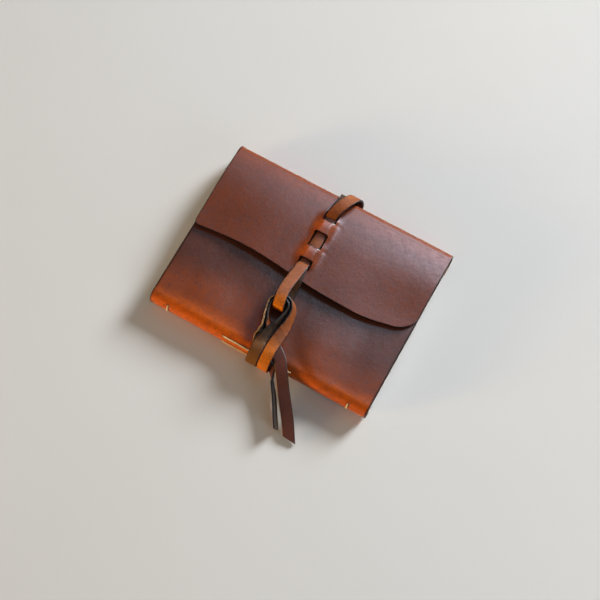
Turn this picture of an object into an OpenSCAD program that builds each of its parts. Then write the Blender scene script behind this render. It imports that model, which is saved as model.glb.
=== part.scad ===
// Pocket notebook in a soft leather cover, closed and tied with a doubled leather lace.
// X runs along the spine, Y from the spine to the fore-edge and Z up: the notebook lies on its back.
// The cover is one hide, drawn as panels and bends so that it can fold. The lace is one strip,
// folded in half: its bight sticks out of the flap and its two ends are hitched through the bight.

/* [Pages] */
// Height of a page, along the spine
page_h = 140; // [120:1:170]
// Width of a page, from its fold to its fore-edge
page_w = 90; // [84:1:100]
// Folded sheets nested in each of the two signatures
sheet_count = 6; // [4:1:7]
// Thickness of one sheet of paper
sheet_t = 0.2; // [0.14:0.02:0.22]
// Air left between nested sheets
sheet_air = 0.035; // [0.02:0.005:0.05]
// Height of the middle fold of a signature, where the thread lies
core_h = 0.9; // [0.9:0.05:1.1]
// Air between the signatures and between them and the leather
page_gap = 0.1; // [0.05:0.05:0.3]

/* [Cover] */
// Thickness of the hide
leather_t = 1.6; // [1.2:0.1:1.8]
// How much wider the closed cover is than a page
cover_room = 17; // [16:0.5:22]
// How far the pages end inside the cover at head and tail
page_setback = 0.5; // [0.1:0.1:3]
// Outer radius of the two bends at the fore-edge
fold_r = 5.5; // [4:0.25:6]
// Outer radius of the spine's upper bend
spine_top_r = 6; // [5.5:0.25:6.5]
// Outer radius of the spine's lower bend
spine_low_r = 3; // [2.5:0.25:3.5]
// How far the front cover reaches past the pages
front_overhang = 1.5; // [0.5:0.25:3]

/* [Flap] */
// Distance from the fold at the fore-edge to the middle of the wavy free edge
flap_reach = 56.8; // [52:0.2:62]
// Height of the wave in the free edge, above and below its middle
wave_amp = 2.3; // [0:0.1:4]
// Length of one wave
wave_len = 125; // [100:5:200]
// Where the wave is nearest the fold, left of the middle
wave_crest = 38.5; // [20:0.5:60]
// Radius of the flap's right corner
corner_right_r = 12; // [4:0.5:14]
// Radius of the flap's left corner
corner_left_r = 4; // [2:0.5:10]
// Air between the front cover and the flap
flap_gap = 2.5; // [2.3:0.1:3.2]

/* [Lace] */
// Width of the lace
lace_w = 7; // [6:0.25:7]
// Thickness of the lace
lace_t = 1.3; // [1:0.1:1.4]
// Place of the lace's slits along the spine, from the middle
lace_x = -1.9; // [-6:0.1:2]
// Distance from the fold at the fore-edge to the first slit
slit_first = 18; // [17:0.5:19]
// Distance from one slit to the next
slit_pitch = 9; // [8:0.25:9.5]
// How far a slit is longer than the lace is wide, at each end
slit_margin = 2.8; // [2:0.2:4]
// Air round the lace where it passes through the flap
weave_air = 0.1; // [0.05:0.05:0.2]

/* [Binding] */
// Diameter of the waxed thread
thread_d = 0.8; // [0.5:0.05:0.8]
// Diameter of the holes that it is sewn through
hole_d = 1.1; // [1:0.05:1.4]
// Distance of the inner holes from the middle of the spine
inner_hole_x = 22; // [16:1:30]
// Distance of the outer holes from the middle of the spine
outer_hole_x = 58.5; // [45:0.5:59]
// Angle of the upper row of holes on the spine's upper bend
upper_row_angle = 40; // [30:1:42]

/* [Hidden] */
$fn = 64;

grain = "saddlebrown";
flesh = "peru";
lace_grain = "sienna";
cream = "wheat";
paper = "whitesmoke";

// Tiny overlap that makes a cut run through a face
eps = 0.01;

// Heights, from the table up
cover_len = page_h + 2 * page_setback;
cover_w = page_w + cover_room;
signature_r = core_h / 2 + sheet_count * (sheet_t + sheet_air);
// Air between the lace and what it lies on or under
ply_air = 0.1;
back_z = lace_t + ply_air;
back_top = back_z + leather_t;
lower_mid_z = back_top + page_gap + signature_r;
upper_mid_z = lower_mid_z + 2 * signature_r + page_gap;
front_z = upper_mid_z + signature_r + page_gap;
front_top = front_z + leather_t;
flap_z = front_top + flap_gap;
flap_top = flap_z + leather_t;

// Places across the cover
spine_y = -cover_w / 2;
fold_y = cover_w / 2;
top_bend_y = spine_y + spine_top_r;
top_bend_z = front_top - spine_top_r;
low_bend_y = spine_y + spine_low_r;
low_bend_z = back_z + spine_low_r;
fore_bend_y = fold_y - fold_r;
fore_low_z = back_z + fold_r;
fore_top_z = flap_top - fold_r;
// Angle on the spine's upper bend where the front cover starts to lift
hinge_angle = 45;

// The upper signature sits back inside the round of the spine
lower_fold_y = spine_y + leather_t + 2 * page_gap + signature_r;
upper_fold_y = top_bend_y;
front_edge_y = upper_fold_y - signature_r + page_w + front_overhang;
// Air beside the first leaf's fold, which lets it turn
leaf_gap = 0.15;

// The doubled lace runs level through the flap, which rises over it and dips under it in turn
ply_pitch = lace_t + ply_air;
lace_stack = lace_t + ply_pitch;
dip = flap_gap - 2 * weave_air;
rise = lace_stack + 2 * weave_air + leather_t - dip;
weave_z = flap_top - dip + weave_air;
inner_ply_z = weave_z + lace_t / 2;
outer_ply_z = inner_ply_z + ply_pitch;
slit_y = [for (k = [0 : 3]) fold_y - slit_first - k * slit_pitch];
slit_half = lace_w / 2 + slit_margin;
weave_core = lace_w / 2 + 0.3;
// Run of a dip outside the first and last slits: a level part, then a ramp
dip_level = 1.5;
dip_ramp = 5;
dip_run = dip_level + dip_ramp;
weave_end = 1;
// The wavy free edge of the flap, and its place at the lace
function flap_edge(x) = fold_y - flap_reach + wave_amp * cos(360 * (x + wave_crest) / wave_len);
flap_end = flap_edge(lace_x);
bight_start = slit_y[3] - weave_end - ply_air;
arch_start = slit_y[0] + weave_end + ply_air;
// Straight run at the end of a lace route, which squares its end face
lead = 0.6;

// The two strands run side by side across the back and round the spine
strand_air = 0.2;
left_x = -0.9;
right_x = left_x + lace_w + strand_air;
back_run = fore_bend_y - 2;
// Room under the strands at the spine for the thread and for the tucked ends
spine_room = 3.3;
strand_r = spine_top_r + spine_room + lace_t / 2;
lace_on_front = front_top + ply_air + lace_t / 2;

// Routes of the lace. Each entry is a point on its middle line and the direction of its width.
flat = [1, 0, 0];
down = [0, 0, -1];

bight_route = [
    [[lace_x, bight_start, outer_ply_z], flat],
    [[lace_x, bight_start - lead, outer_ply_z], flat],
    [[lace_x - 0.1, slit_y[3] - 3.9, flap_top + 1.5], flat],
    [[lace_x - 0.2, slit_y[3] - 5.9, flap_top + 2.5], flat],
    [[lace_x - 0.5, slit_y[3] - 10, flap_top + 3.4], flat],
    [[lace_x - 0.9, slit_y[3] - 14.5, flap_top + 4.3], flat],
    [[lace_x - 1.4, top_bend_y + 34.5, flap_top + 5.6], flat],
    [[lace_x - 0.8, top_bend_y + 27.5, flap_top + 5.9], flat],
    [[lace_x, top_bend_y + 23.9, flap_top + 4.3], flat],
    [[lace_x + 0.5, top_bend_y + 22.6, front_top + 4.6], flat],
    [[lace_x + 0.9, top_bend_y + 24.1, front_top + 1.7], flat],
    [[lace_x + 1.3, top_bend_y + 27.1, lace_on_front + 0.3], flat],
    [[lace_x + 1.5, top_bend_y + 30.5, lace_on_front + 0.1], flat],
    [[lace_x + 1.6, top_bend_y + 34, lace_on_front + 0.3], flat],
    [[lace_x + 1.4, flap_end - 4.7, front_top + 2.4], flat],
    [[lace_x + 0.8, flap_end - 0.7, flap_top + 0.7], flat],
    [[lace_x + 0.3, flap_end + 3.9, flap_top + 0.8], flat],
    [[lace_x, slit_y[3] - 5, flap_top + 0.45], flat],
    [[lace_x, bight_start - lead, inner_ply_z], flat],
    [[lace_x, bight_start, inner_ply_z], flat]
];

arch_outer_route = [
    [[lace_x, arch_start, outer_ply_z], flat],
    [[lace_x, arch_start + lead, outer_ply_z], flat],
    [[lace_x + 0.1, slit_y[0] + 2.9, outer_ply_z + 1.3], flat],
    [[lace_x + 0.3, slit_y[0] + 4.2, flap_top + 2.1], flat],
    [[lace_x + 1.4, slit_y[0] + 8, flap_top + 3.3], flat],
    [[lace_x + 3.2, slit_y[0] + 12.5, flap_top + 3.8], flat],
    [[lace_x + 5.2, fold_y - 1.2, flap_top + 2.9], flat],
    [[lace_x + 6.6, fold_y + 2.6, flap_top - 1.4], flat],
    [[right_x - 0.2, fold_y + 3.6, fore_top_z - 2], flat],
    [[right_x, fold_y + 2.8, fore_low_z - 2.4], flat],
    [[right_x, fold_y - 0.6, lace_t + 0.7], flat],
    [[right_x, fore_bend_y + 2.4, lace_t / 2 + 0.3], flat],
    [[right_x, fore_bend_y + 0.2, lace_t / 2 + 0.02], flat],
    [[right_x, fore_bend_y - 0.8, lace_t / 2], flat],
    [[right_x, back_run + lead, lace_t / 2], flat],
    [[right_x, back_run, lace_t / 2], flat]
];

arch_inner_route = [
    [[lace_x, arch_start, inner_ply_z], flat],
    [[lace_x, arch_start + lead, inner_ply_z], flat],
    [[lace_x, slit_y[0] + 2.9, inner_ply_z + 0.65], flat],
    [[lace_x, slit_y[0] + 4.2, flap_top], flat],
    [[lace_x, slit_y[0] + 6, flap_top + 0.9], flat],
    [[lace_x + 0.5, slit_y[0] + 8, flap_top + 1.1], flat],
    [[lace_x + 1.2, fore_bend_y, flap_top + 1.0], flat],
    [[lace_x + 1.5, fore_bend_y + 3.6, flap_top - 0.1], flat],
    [[lace_x + 1.3, fore_bend_y + 6.2, fore_top_z + 2.8], flat],
    [[left_x - 0.3, fold_y + 1.3, fore_top_z - 1.6], flat],
    [[left_x - 0.1, fold_y + 1.1, fore_low_z - 0.6], flat],
    [[left_x, fore_bend_y + 4.7, lace_t + 0.75], flat],
    [[left_x, fore_bend_y + 2.2, lace_t / 2 + 0.25], flat],
    [[left_x, fore_bend_y + 0.2, lace_t / 2 + 0.02], flat],
    [[left_x, fore_bend_y - 0.8, lace_t / 2], flat],
    [[left_x, back_run + lead, lace_t / 2], flat],
    [[left_x, back_run, lace_t / 2], flat]
];

// A strand from the back, round the spine clear of the stitches, to the top of the front cover
function spine_route(x) = concat(
    [[[x, -back_run, lace_t / 2], flat],
     [[x, -back_run - lead, lace_t / 2], flat],
     [[x, low_bend_y + 1.6, lace_t / 2 + 0.01], flat],
     [[x, low_bend_y + 0.8, lace_t / 2 + 0.02], flat],
     [[x, low_bend_y - 0.2, lace_t / 2 + 0.06], flat],
     [[x, low_bend_y - 1.4, lace_t / 2 + 0.32], flat],
     [[x, low_bend_y - 2.8, lace_t + 0.1], flat],
     [[x, low_bend_y - 4.1, lace_t + 1.15], flat],
     [[x, spine_y - spine_room + 0.4, low_bend_z - 0.4], flat],
     [[x, spine_y - spine_room - lace_t / 2, top_bend_z], flat]],
    [for (a = [22.5 : 22.5 : 90])
        [[x, top_bend_y - strand_r * cos(a), top_bend_z + strand_r * sin(a)], flat]]);

// The strands go up the front on edge, through the bight and back down, then tuck under themselves
hitch_outer = [
    [[right_x, top_bend_y + lead, top_bend_z + strand_r], flat],
    [[right_x + 0.3, top_bend_y + 6.5, front_top + 4.2], [0.98, 0, -0.17]],
    [[right_x + 0.7, top_bend_y + 10.5, front_top + 4.4], [0.94, 0, -0.34]],
    [[right_x + 1, top_bend_y + 14.5, front_top + 4.6], [0.82, 0, -0.57]],
    [[right_x + 1.1, top_bend_y + 18.5, front_top + 4.8], [0.57, 0, -0.82]],
    [[right_x + 0.9, top_bend_y + 23, front_top + 4.9], [0.42, 0.05, -0.91]],
    [[right_x - 0.3, top_bend_y + 27.1, front_top + 5.3], [0.28, 0.18, -0.94]],
    [[right_x - 3.3, top_bend_y + 30.3, front_top + 5.4], [0.1, 0.2, -0.97]],
    [[right_x - 7, top_bend_y + 30.9, front_top + 5.4], down],
    [[left_x - 3.6, top_bend_y + 29.7, front_top + 5.3], down],
    [[left_x - 7, top_bend_y + 26.1, front_top + 4.9], down],
    [[left_x - 6.9, top_bend_y + 19.9, front_top + 4.2], down],
    [[left_x - 5.7, top_bend_y + 14.6, front_top + 3.85], [0.1, 0.05, -0.99]],
    [[left_x - 4.6, top_bend_y + 9.4, front_top + 3.7], [0.38, 0.28, -0.88]],
    [[left_x - 3.9, top_bend_y + 5.3, front_top + 3.25], [0.55, 0.55, -0.63]],
    [[left_x - 3.3, top_bend_y + 2.6, front_top + 2.5], [0.63, 0.65, -0.42]],
    [[left_x - 2.5, top_bend_y + 0.6, front_top + 1.4], [0.62, 0.76, -0.1]]
];

hitch_inner = [
    [[left_x, top_bend_y + lead, top_bend_z + strand_r], flat],
    [[left_x + 0.4, top_bend_y + 3.5, front_top + 4.1], [0.94, 0, -0.34]],
    [[left_x + 0.9, top_bend_y + 6.5, front_top + 4.5], [0.82, 0, -0.57]],
    [[left_x + 1.9, top_bend_y + 10.5, front_top + 4.7], [0.64, 0, -0.77]],
    [[left_x + 3.1, top_bend_y + 14.5, front_top + 4.8], [0.34, 0, -0.94]],
    [[left_x + 4.1, top_bend_y + 18.5, front_top + 4.9], [0.25, 0, -0.97]],
    [[left_x + 5, top_bend_y + 23, front_top + 5], [0.25, 0.05, -0.97]],
    [[left_x + 4.8, top_bend_y + 26.1, front_top + 5.3], [0.18, 0.12, -0.97]],
    [[left_x + 3.2, top_bend_y + 28.2, front_top + 5.4], [0.05, 0.15, -0.98]],
    [[left_x + 0.4, top_bend_y + 28.8, front_top + 5.4], down],
    [[left_x - 2.8, top_bend_y + 27.8, front_top + 5.3], down],
    [[left_x - 5.4, top_bend_y + 25, front_top + 4.9], down],
    [[left_x - 5, top_bend_y + 19.5, front_top + 4.2], down],
    [[left_x - 3.8, top_bend_y + 15.5, front_top + 3.8], [0.1, 0.05, -0.99]],
    [[left_x - 2.4, top_bend_y + 12.1, front_top + 3.5], [0.45, 0.3, -0.84]],
    [[left_x - 0.8, top_bend_y + 8.9, front_top + 2.4], [0.64, 0.6, -0.47]],
    [[left_x + 3, top_bend_y + 6.1, front_top + 1], [0.64, 0.77, -0.05]]
];

tail_short = [
    [[left_x + 1.1, top_bend_y - 1.6, front_top + 0.85], [0.66, 0.74, 0.1]],
    [[left_x + 4.4, top_bend_y - 3.8, front_top + 0.4], [0.62, 0.67, 0.4]],
    [[left_x + 7.5, top_bend_y - 5.8, front_top - 0.8], [0.6, 0.53, 0.6]],
    [[left_x + 11.6, top_bend_y - 7.4, front_top - 3.2], [0.4, 0.35, 0.85]],
    [[left_x + 14.2, top_bend_y - 10.5, front_top - 4.8], [0.1, 0.15, 0.97]],
    [[left_x + 16.5, top_bend_y - 14.5, front_top - 5.4], [-0.2, -0.1, 0.97]],
    [[left_x + 19.9, top_bend_y - 18.9, front_top - 6.2], [-0.38, -0.22, 0.9]],
    [[left_x + 23, top_bend_y - 23.7, front_top - 7], [-0.4, -0.24, 0.88]],
    [[left_x + 26.1, top_bend_y - 28.7, front_top - 7.7], [-0.42, -0.24, 0.87]],
    [[left_x + 30.7, top_bend_y - 35.7, front_top - 8.3], [-0.45, -0.25, 0.85]]
];

tail_long = [
    [[left_x + 7, top_bend_y + 3.8, front_top + 0.8], [0.6, 0.8, 0]],
    [[left_x + 11, top_bend_y + 1.2, front_top + 0.85], [0.64, 0.76, 0.03]],
    [[left_x + 14.7, top_bend_y - 2.1, front_top + 0.85], [0.7, 0.71, 0.1]],
    [[left_x + 17.4, top_bend_y - 5.9, front_top + 0.4], [0.75, 0.66, 0.1]],
    [[left_x + 20.4, top_bend_y - 10.1, front_top - 1], [0.78, 0.62, 0.05]],
    [[left_x + 23.7, top_bend_y - 14.8, front_top - 3.2], [0.8, 0.6, 0]],
    [[left_x + 27.4, top_bend_y - 19.5, front_top - 5], [0.8, 0.6, 0]],
    [[left_x + 31, top_bend_y - 24.3, front_top - 6.8], [0.8, 0.6, 0]],
    [[left_x + 34.6, top_bend_y - 29.1, front_top - 8.3], [0.8, 0.6, 0]],
    [[left_x + 37.5, top_bend_y - 33.5, front_top - 9.6], [0.8, 0.6, 0]],
    [[left_x + 39.9, top_bend_y - 37.3, front_top - 10.6], [0.8, 0.6, 0]]
];

// Each strand is one route; a node draws a stretch of it
outer_route = concat(spine_route(right_x), hitch_outer, tail_short);
inner_route = concat(spine_route(left_x), hitch_inner, tail_long);
spine_end = len(spine_route(0)) - 1;
outer_tuck = spine_end + len(hitch_outer);
inner_tuck = spine_end + len(hitch_inner);
// How far the pointed side of a tail's slanted tip runs on past its middle
tip_slant = 2.6;

function unit(v) = v / norm(v);
function clamp(i, n) = max(0, min(n - 1, i));
// Direction of travel at a point, from the runs before and after it; the shorter run counts for more
function travel(before, after) = let (b = norm(before), a = norm(after))
    b < eps ? unit(after) : a < eps ? unit(before) : (before / b * a + after / a * b) / (a + b);
function bend(p, q, p_dir, q_dir, t) = let (run = norm(q - p))
    p * (2 * t * t * t - 3 * t * t + 1) + q * (3 * t * t - 2 * t * t * t) +
    run * (p_dir * (t * t * t - 2 * t * t + t) + q_dir * (t * t * t - t * t));

// A smooth line through the points of a route, and the width at each place on it
strip_steps = 4;
function smooth_line(route) = let (n = len(route), p = [for (r = route) r[0]]) concat(
    [for (i = [0 : n - 2], k = [0 : strip_steps - 1]) bend(p[i], p[i + 1],
        travel(p[i] - p[clamp(i - 1, n)], p[i + 1] - p[i]),
        travel(p[i + 1] - p[i], p[clamp(i + 2, n)] - p[i + 1]), k / strip_steps)],
    [p[n - 1]]);
function smooth_width(route) = let (n = len(route)) concat(
    [for (i = [0 : n - 2], k = [0 : strip_steps - 1]) let (t = 0.5 - 0.5 * cos(180 * k / strip_steps))
        route[i][1] * (1 - t) + route[i + 1][1] * t],
    [route[n - 1][1]]);

function heading(line, i) = unit(line[clamp(i + 1, len(line))] - line[clamp(i - 1, len(line))]);

// A closed skin over rings of equal length, with caps at its ends or joined into a ring.
// A ring that is capped has its lower row first, then its upper row backwards.
module skin(rings, joined = false) {
    n = len(rings[0]);
    count = len(rings);
    last = joined ? count - 1 : count - 2;
    sides = [for (i = [0 : last], j = [0 : n - 1])
        let (a = i * n, b = ((i + 1) % count) * n, k = (j + 1) % n)
        each [[a + j, b + k, a + k], [a + j, b + j, b + k]]];
    top = (count - 1) * n;
    caps = joined ? [] : [for (j = [0 : n / 2 - 2]) each [
        [j, j + 1, n - 2 - j, n - 1 - j],
        [top + n - 1 - j, top + n - 2 - j, top + j + 1, top + j]]];
    polyhedron([for (r = rings) each r], concat(sides, caps), convexity = 6);
}

// A flat strip of lace along a route, or along the stretch between two of its points
module strip(route, from = 0, to = 0, slant = 0) {
    line = smooth_line(route);
    widths = smooth_width(route);
    end = to > 0 ? to * strip_steps : len(line) - 1;
    skin([for (i = [from * strip_steps : end])
        let (
            t = heading(line, i),
            side = unit(widths[i] - (widths[i] * t) * t) * lace_w / 2,
            face = cross(t, unit(side)) * lace_t / 2,
            run = slant * max(0, 1 - (end - i) / (2 * strip_steps)) * t
        )
        [line[i] - side - face - run, line[i] + side - face + run,
         line[i] + side + face + run, line[i] - side + face - run]]);
}

// A round thread along points, joined end to end
module thread_loop(points, d, sides = 8) {
    n = len(points);
    skin([for (i = [0 : n - 1])
        let (
            before = unit(points[i] - points[(i + n - 1) % n]),
            after = unit(points[(i + 1) % n] - points[i]),
            t = unit(before + after),
            a = unit(cross(t, abs(t[2]) > 0.8 ? [1, 0, 0] : [0, 0, 1])),
            b = cross(t, a)
        )
        [for (k = [0 : sides - 1]) let (v = 360 * k / sides) points[i] + d / 2 * (a * cos(v) + b * sin(v))]],
        joined = true);
}

// Draws a profile in Y and Z and runs it along the spine
module along_spine(run = cover_len) {
    rotate([90, 0, 90])
        linear_extrude(run, center = true)
            children();
}

// Part of a ring, from one angle to another
module ring_sector(r_out, r_in, from, to) {
    reach = 2 * r_out;
    intersection() {
        difference() {
            circle(r_out);
            circle(r_in);
        }
        polygon([[0, 0], for (a = [from : (to - from) / 2 : to]) reach * [cos(a), sin(a)]]);
    }
}

module panel(y_from, y_to, z) {
    translate([y_from, z])
        square([y_to - y_from, leather_t]);
}

// Holes for the thread: one row in the flat of the spine, one on its upper bend
module sewing_holes() {
    for (x = [-outer_hole_x, -inner_hole_x, inner_hole_x, outer_hole_x]) {
        translate([x, spine_y, lower_mid_z])
            rotate([90, 0, 0])
                cylinder(d = hole_d, h = 4 * leather_t, center = true);
        translate([x, top_bend_y, top_bend_z])
            rotate([90 - upper_row_angle, 0, 0])
                translate([0, 0, spine_top_r - 2 * leather_t])
                    cylinder(d = hole_d, h = 4 * leather_t);
    }
}

module back_cover() {
    color(grain)
        along_spine()
            panel(low_bend_y, fore_bend_y, back_z);
}

module spine() {
    color(grain)
        difference() {
            along_spine() {
                translate([low_bend_y, low_bend_z])
                    ring_sector(spine_low_r, spine_low_r - leather_t, 180, 270);
                translate([spine_y, low_bend_z])
                    square([leather_t, top_bend_z - low_bend_z]);
                translate([top_bend_y, top_bend_z])
                    ring_sector(spine_top_r, spine_top_r - leather_t, 180 - hinge_angle, 180);
            }
            sewing_holes();
        }
}

module front_bend() {
    color(grain)
        along_spine()
            translate([top_bend_y, top_bend_z])
                ring_sector(spine_top_r, spine_top_r - leather_t, 90, 180 - hinge_angle);
}

module front_cover() {
    color(grain)
        along_spine()
            panel(top_bend_y, front_edge_y, front_z);
}

module fore_edge_lower_bend() {
    color(grain)
        along_spine()
            translate([fore_bend_y, fore_low_z])
                ring_sector(fold_r, fold_r - leather_t, -90, 0);
}

module fore_edge_strip() {
    color(grain)
        along_spine()
            translate([fold_y - leather_t, fore_low_z])
                square([leather_t, fore_top_z - fore_low_z]);
}

module fore_edge_upper_bend() {
    color(grain)
        along_spine()
            translate([fore_bend_y, fore_top_z])
                ring_sector(fold_r, fold_r - leather_t, 0, 90);
}

module flap_outline() {
    half = cover_len / 2;
    left = -half + corner_left_r;
    right = half - corner_right_r;
    edge_steps = 28;
    polygon(concat(
        [[half, fore_bend_y], [-half, fore_bend_y]],
        [for (a = [180 : 15 : 255])
            [left, flap_edge(left) + corner_left_r] + corner_left_r * [cos(a), sin(a)]],
        [for (k = [0 : edge_steps]) let (x = left + (right - left) * k / edge_steps) [x, flap_edge(x)]],
        [for (a = [285 : 15 : 360])
            [right, flap_edge(right) + corner_right_r] + corner_right_r * [cos(a), sin(a)]]));
}

// Height of the flap beside the lace, as a share of the full rise or dip
function swell(u) = abs(u) <= weave_core ? 1 :
    0.5 + 0.5 * cos(180 * (abs(u) - weave_core) / (slit_half - weave_core));
swell_step = (slit_half - weave_core) / 6;
swell_at = concat(
    [for (j = [0 : 6]) -slit_half + j * swell_step],
    [for (j = [0 : 6]) weave_core + j * swell_step]);
function swell_profile(h) = concat(
    [for (u = swell_at) [u, h * swell(u)]],
    [for (k = [len(swell_at) - 1 : -1 : 0]) [swell_at[k], leather_t + h * swell(swell_at[k])]]);

// A stretch of the flap over or under the lace, between two slits
module flap_band(y_from, y_to, h) {
    translate([lace_x, y_from, flap_z])
        rotate([90, 0, 0])
            linear_extrude(y_from - y_to)
                polygon(swell_profile(h));
}

// The flap dips towards a slit: level beside it, then back up to the flat
module flap_dip(y_slit, way) {
    ramp_steps = 6;
    runs = concat([0], [for (k = [0 : ramp_steps]) dip_level + dip_ramp * k / ramp_steps]);
    ordered = way > 0 ? [for (k = [len(runs) - 1 : -1 : 0]) runs[k]] : runs;
    skin([for (r = ordered)
        let (h = -dip * (r <= dip_level ? 1 : 0.5 + 0.5 * cos(180 * (r - dip_level) / dip_ramp)))
        [for (p = swell_profile(h)) [lace_x + p[0], y_slit + way * r, flap_z + p[1]]]]);
}

module flap() {
    color(grain) {
        difference() {
            translate([0, 0, flap_z])
                linear_extrude(leather_t)
                    flap_outline();
            translate([lace_x - slit_half, slit_y[3] - dip_run, flap_z - leather_t])
                cube([2 * slit_half, slit_y[0] - slit_y[3] + 2 * dip_run, 3 * leather_t]);
        }
        flap_dip(slit_y[0], 1);
        flap_band(slit_y[0], slit_y[1], rise);
        flap_band(slit_y[1], slit_y[2], -dip);
        flap_band(slit_y[2], slit_y[3], rise);
        flap_dip(slit_y[3], -1);
    }
}

// Half height of a sheet's inner face, from the middle of its signature
function sheet_offset(k) = core_h / 2 + k * (sheet_t + sheet_air);

// Profile of a folded sheet: a half ring at the spine and two leaves
module folded_sheet(offset, leaf_run, leaves) {
    ring_sector(offset + sheet_t, offset, 90, 270);
    for (side = leaves)
        translate([0, side > 0 ? offset : -offset - sheet_t])
            square([leaf_run, sheet_t]);
}

module signature(fold_at, mid_z, leaves_of_outer) {
    color(paper)
        difference() {
            for (k = [0 : sheet_count - 1])
                translate([0, fold_at, mid_z])
                    along_spine(page_h)
                        folded_sheet(sheet_offset(k), page_w - signature_r,
                            k == sheet_count - 1 ? leaves_of_outer : [-1, 1]);
            for (x = [-outer_hole_x, -inner_hole_x, inner_hole_x, outer_hole_x])
                translate([x, fold_at, mid_z])
                    rotate([90, 0, 0])
                        cylinder(d = hole_d, h = 2 * signature_r);
        }
}

module lower_signature() {
    signature(lower_fold_y, lower_mid_z, [-1, 1]);
}

module upper_signature() {
    signature(upper_fold_y, upper_mid_z, [-1]);
}

module first_leaf() {
    color(paper)
        translate([0, upper_fold_y + leaf_gap, upper_mid_z + sheet_offset(sheet_count - 1)])
            along_spine(page_h)
                square([page_w - signature_r - leaf_gap, sheet_t]);
}

// The thread runs inside each fold, out to a long stitch on the spine, and over the spine at each end
row_air = 0.05;
out_lower = [0, spine_y - thread_d / 2 - row_air, lower_mid_z];
row_dir = [0, -cos(upper_row_angle), sin(upper_row_angle)];
out_upper = [0, top_bend_y, top_bend_z] + (spine_top_r + thread_d / 2 + row_air) * row_dir;
in_lower = [0, lower_fold_y, lower_mid_z];
in_upper = [0, upper_fold_y, upper_mid_z];
neck_upper = [0, top_bend_y, top_bend_z] + (spine_top_r - leather_t) * row_dir;
// Half of the chamfer where the thread turns into a hole
turn = 0.4;
// The crossing stitch bows round the spine between the two rows
cross_r = spine_top_r + thread_d / 2 + 2 * row_air;
cross_end = upper_row_angle - turn / cross_r * 180 / PI;
cross_arc = [for (k = [0 : 3]) [0, top_bend_y, top_bend_z] +
    cross_r * [0, -cos(cross_end * k / 3), sin(cross_end * k / 3)]];

function at(x, p) = [x, p[1], p[2]];
function lower_pass(x, way) = [
    at(x - way * turn, in_lower),
    at(x, in_lower + [0, -turn, 0]),
    at(x, out_lower + [0, turn, 0]),
    at(x + way * turn, out_lower)];
function upper_pass(x, way) = [
    at(x - way * turn, in_upper),
    at(x, in_upper + [0, -turn, 0]),
    at(x, neck_upper),
    at(x, out_upper - turn * row_dir),
    at(x + way * turn, out_upper)];
function backwards(list) = [for (k = [len(list) - 1 : -1 : 0]) list[k]];

module binding_thread() {
    color(cream)
        thread_loop(concat(
            lower_pass(-inner_hole_x, 1),
            backwards(lower_pass(inner_hole_x, -1)),
            [at(outer_hole_x - turn, in_lower), at(outer_hole_x, in_lower + [0, -turn, 0]),
             at(outer_hole_x, out_lower + [0, turn, 0]), at(outer_hole_x, out_lower + [0, 0, turn]),
             each [for (p = cross_arc) at(outer_hole_x, p)], at(outer_hole_x, out_upper - turn * row_dir),
             at(outer_hole_x, neck_upper), at(outer_hole_x, in_upper + [0, -turn, 0]),
             at(outer_hole_x - turn, in_upper)],
            upper_pass(inner_hole_x, -1),
            backwards(upper_pass(-inner_hole_x, 1)),
            [at(-outer_hole_x + turn, in_upper), at(-outer_hole_x, in_upper + [0, -turn, 0]),
             at(-outer_hole_x, neck_upper), at(-outer_hole_x, out_upper - turn * row_dir),
             each [for (p = backwards(cross_arc)) at(-outer_hole_x, p)],
             at(-outer_hole_x, out_lower + [0, 0, turn]),
             at(-outer_hole_x, out_lower + [0, turn, 0]), at(-outer_hole_x, in_lower + [0, -turn, 0]),
             at(-outer_hole_x + turn, in_lower)]), thread_d);
}

module weave_ply(z) {
    translate([lace_x - lace_w / 2, slit_y[3] - weave_end, z - lace_t / 2])
        cube([lace_w, slit_y[0] - slit_y[3] + 2 * weave_end, lace_t]);
}

module lace_weave_outer() {
    color(lace_grain) weave_ply(outer_ply_z);
}

module lace_weave_inner() {
    color(flesh) weave_ply(inner_ply_z);
}

module lace_bight() {
    color(lace_grain) strip(bight_route);
}

module lace_arch_outer() {
    color(lace_grain) strip(arch_outer_route);
}

module lace_arch_inner() {
    color(flesh) strip(arch_inner_route);
}

module back_strand(x) {
    translate([x - lace_w / 2, -back_run, 0])
        cube([lace_w, 2 * back_run, lace_t]);
}

module lace_back_right() {
    color(lace_grain) back_strand(right_x);
}

module lace_back_left() {
    color(flesh) back_strand(left_x);
}

module lace_spine_right() {
    color(lace_grain) strip(outer_route, 0, spine_end);
}

module lace_spine_left() {
    color(flesh) strip(inner_route, 0, spine_end);
}

module lace_hitch_outer() {
    color(lace_grain) strip(outer_route, spine_end, outer_tuck);
}

module lace_hitch_inner() {
    color(flesh) strip(inner_route, spine_end, inner_tuck);
}

module lace_tail_short() {
    color(lace_grain) strip(outer_route, outer_tuck);
}

module lace_tail_long() {
    color(lace_grain) strip(inner_route, inner_tuck, slant = tip_slant);
}

back_cover();
spine();
front_bend();
front_cover();
fore_edge_lower_bend();
fore_edge_strip();
fore_edge_upper_bend();
flap();
lower_signature();
upper_signature();
first_leaf();
binding_thread();
lace_weave_outer();
lace_weave_inner();
lace_bight();
lace_arch_outer();
lace_arch_inner();
lace_back_right();
lace_back_left();
lace_spine_right();
lace_spine_left();
lace_hitch_outer();
lace_hitch_inner();
lace_tail_short();
lace_tail_long();
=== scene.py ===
import math
import random

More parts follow.
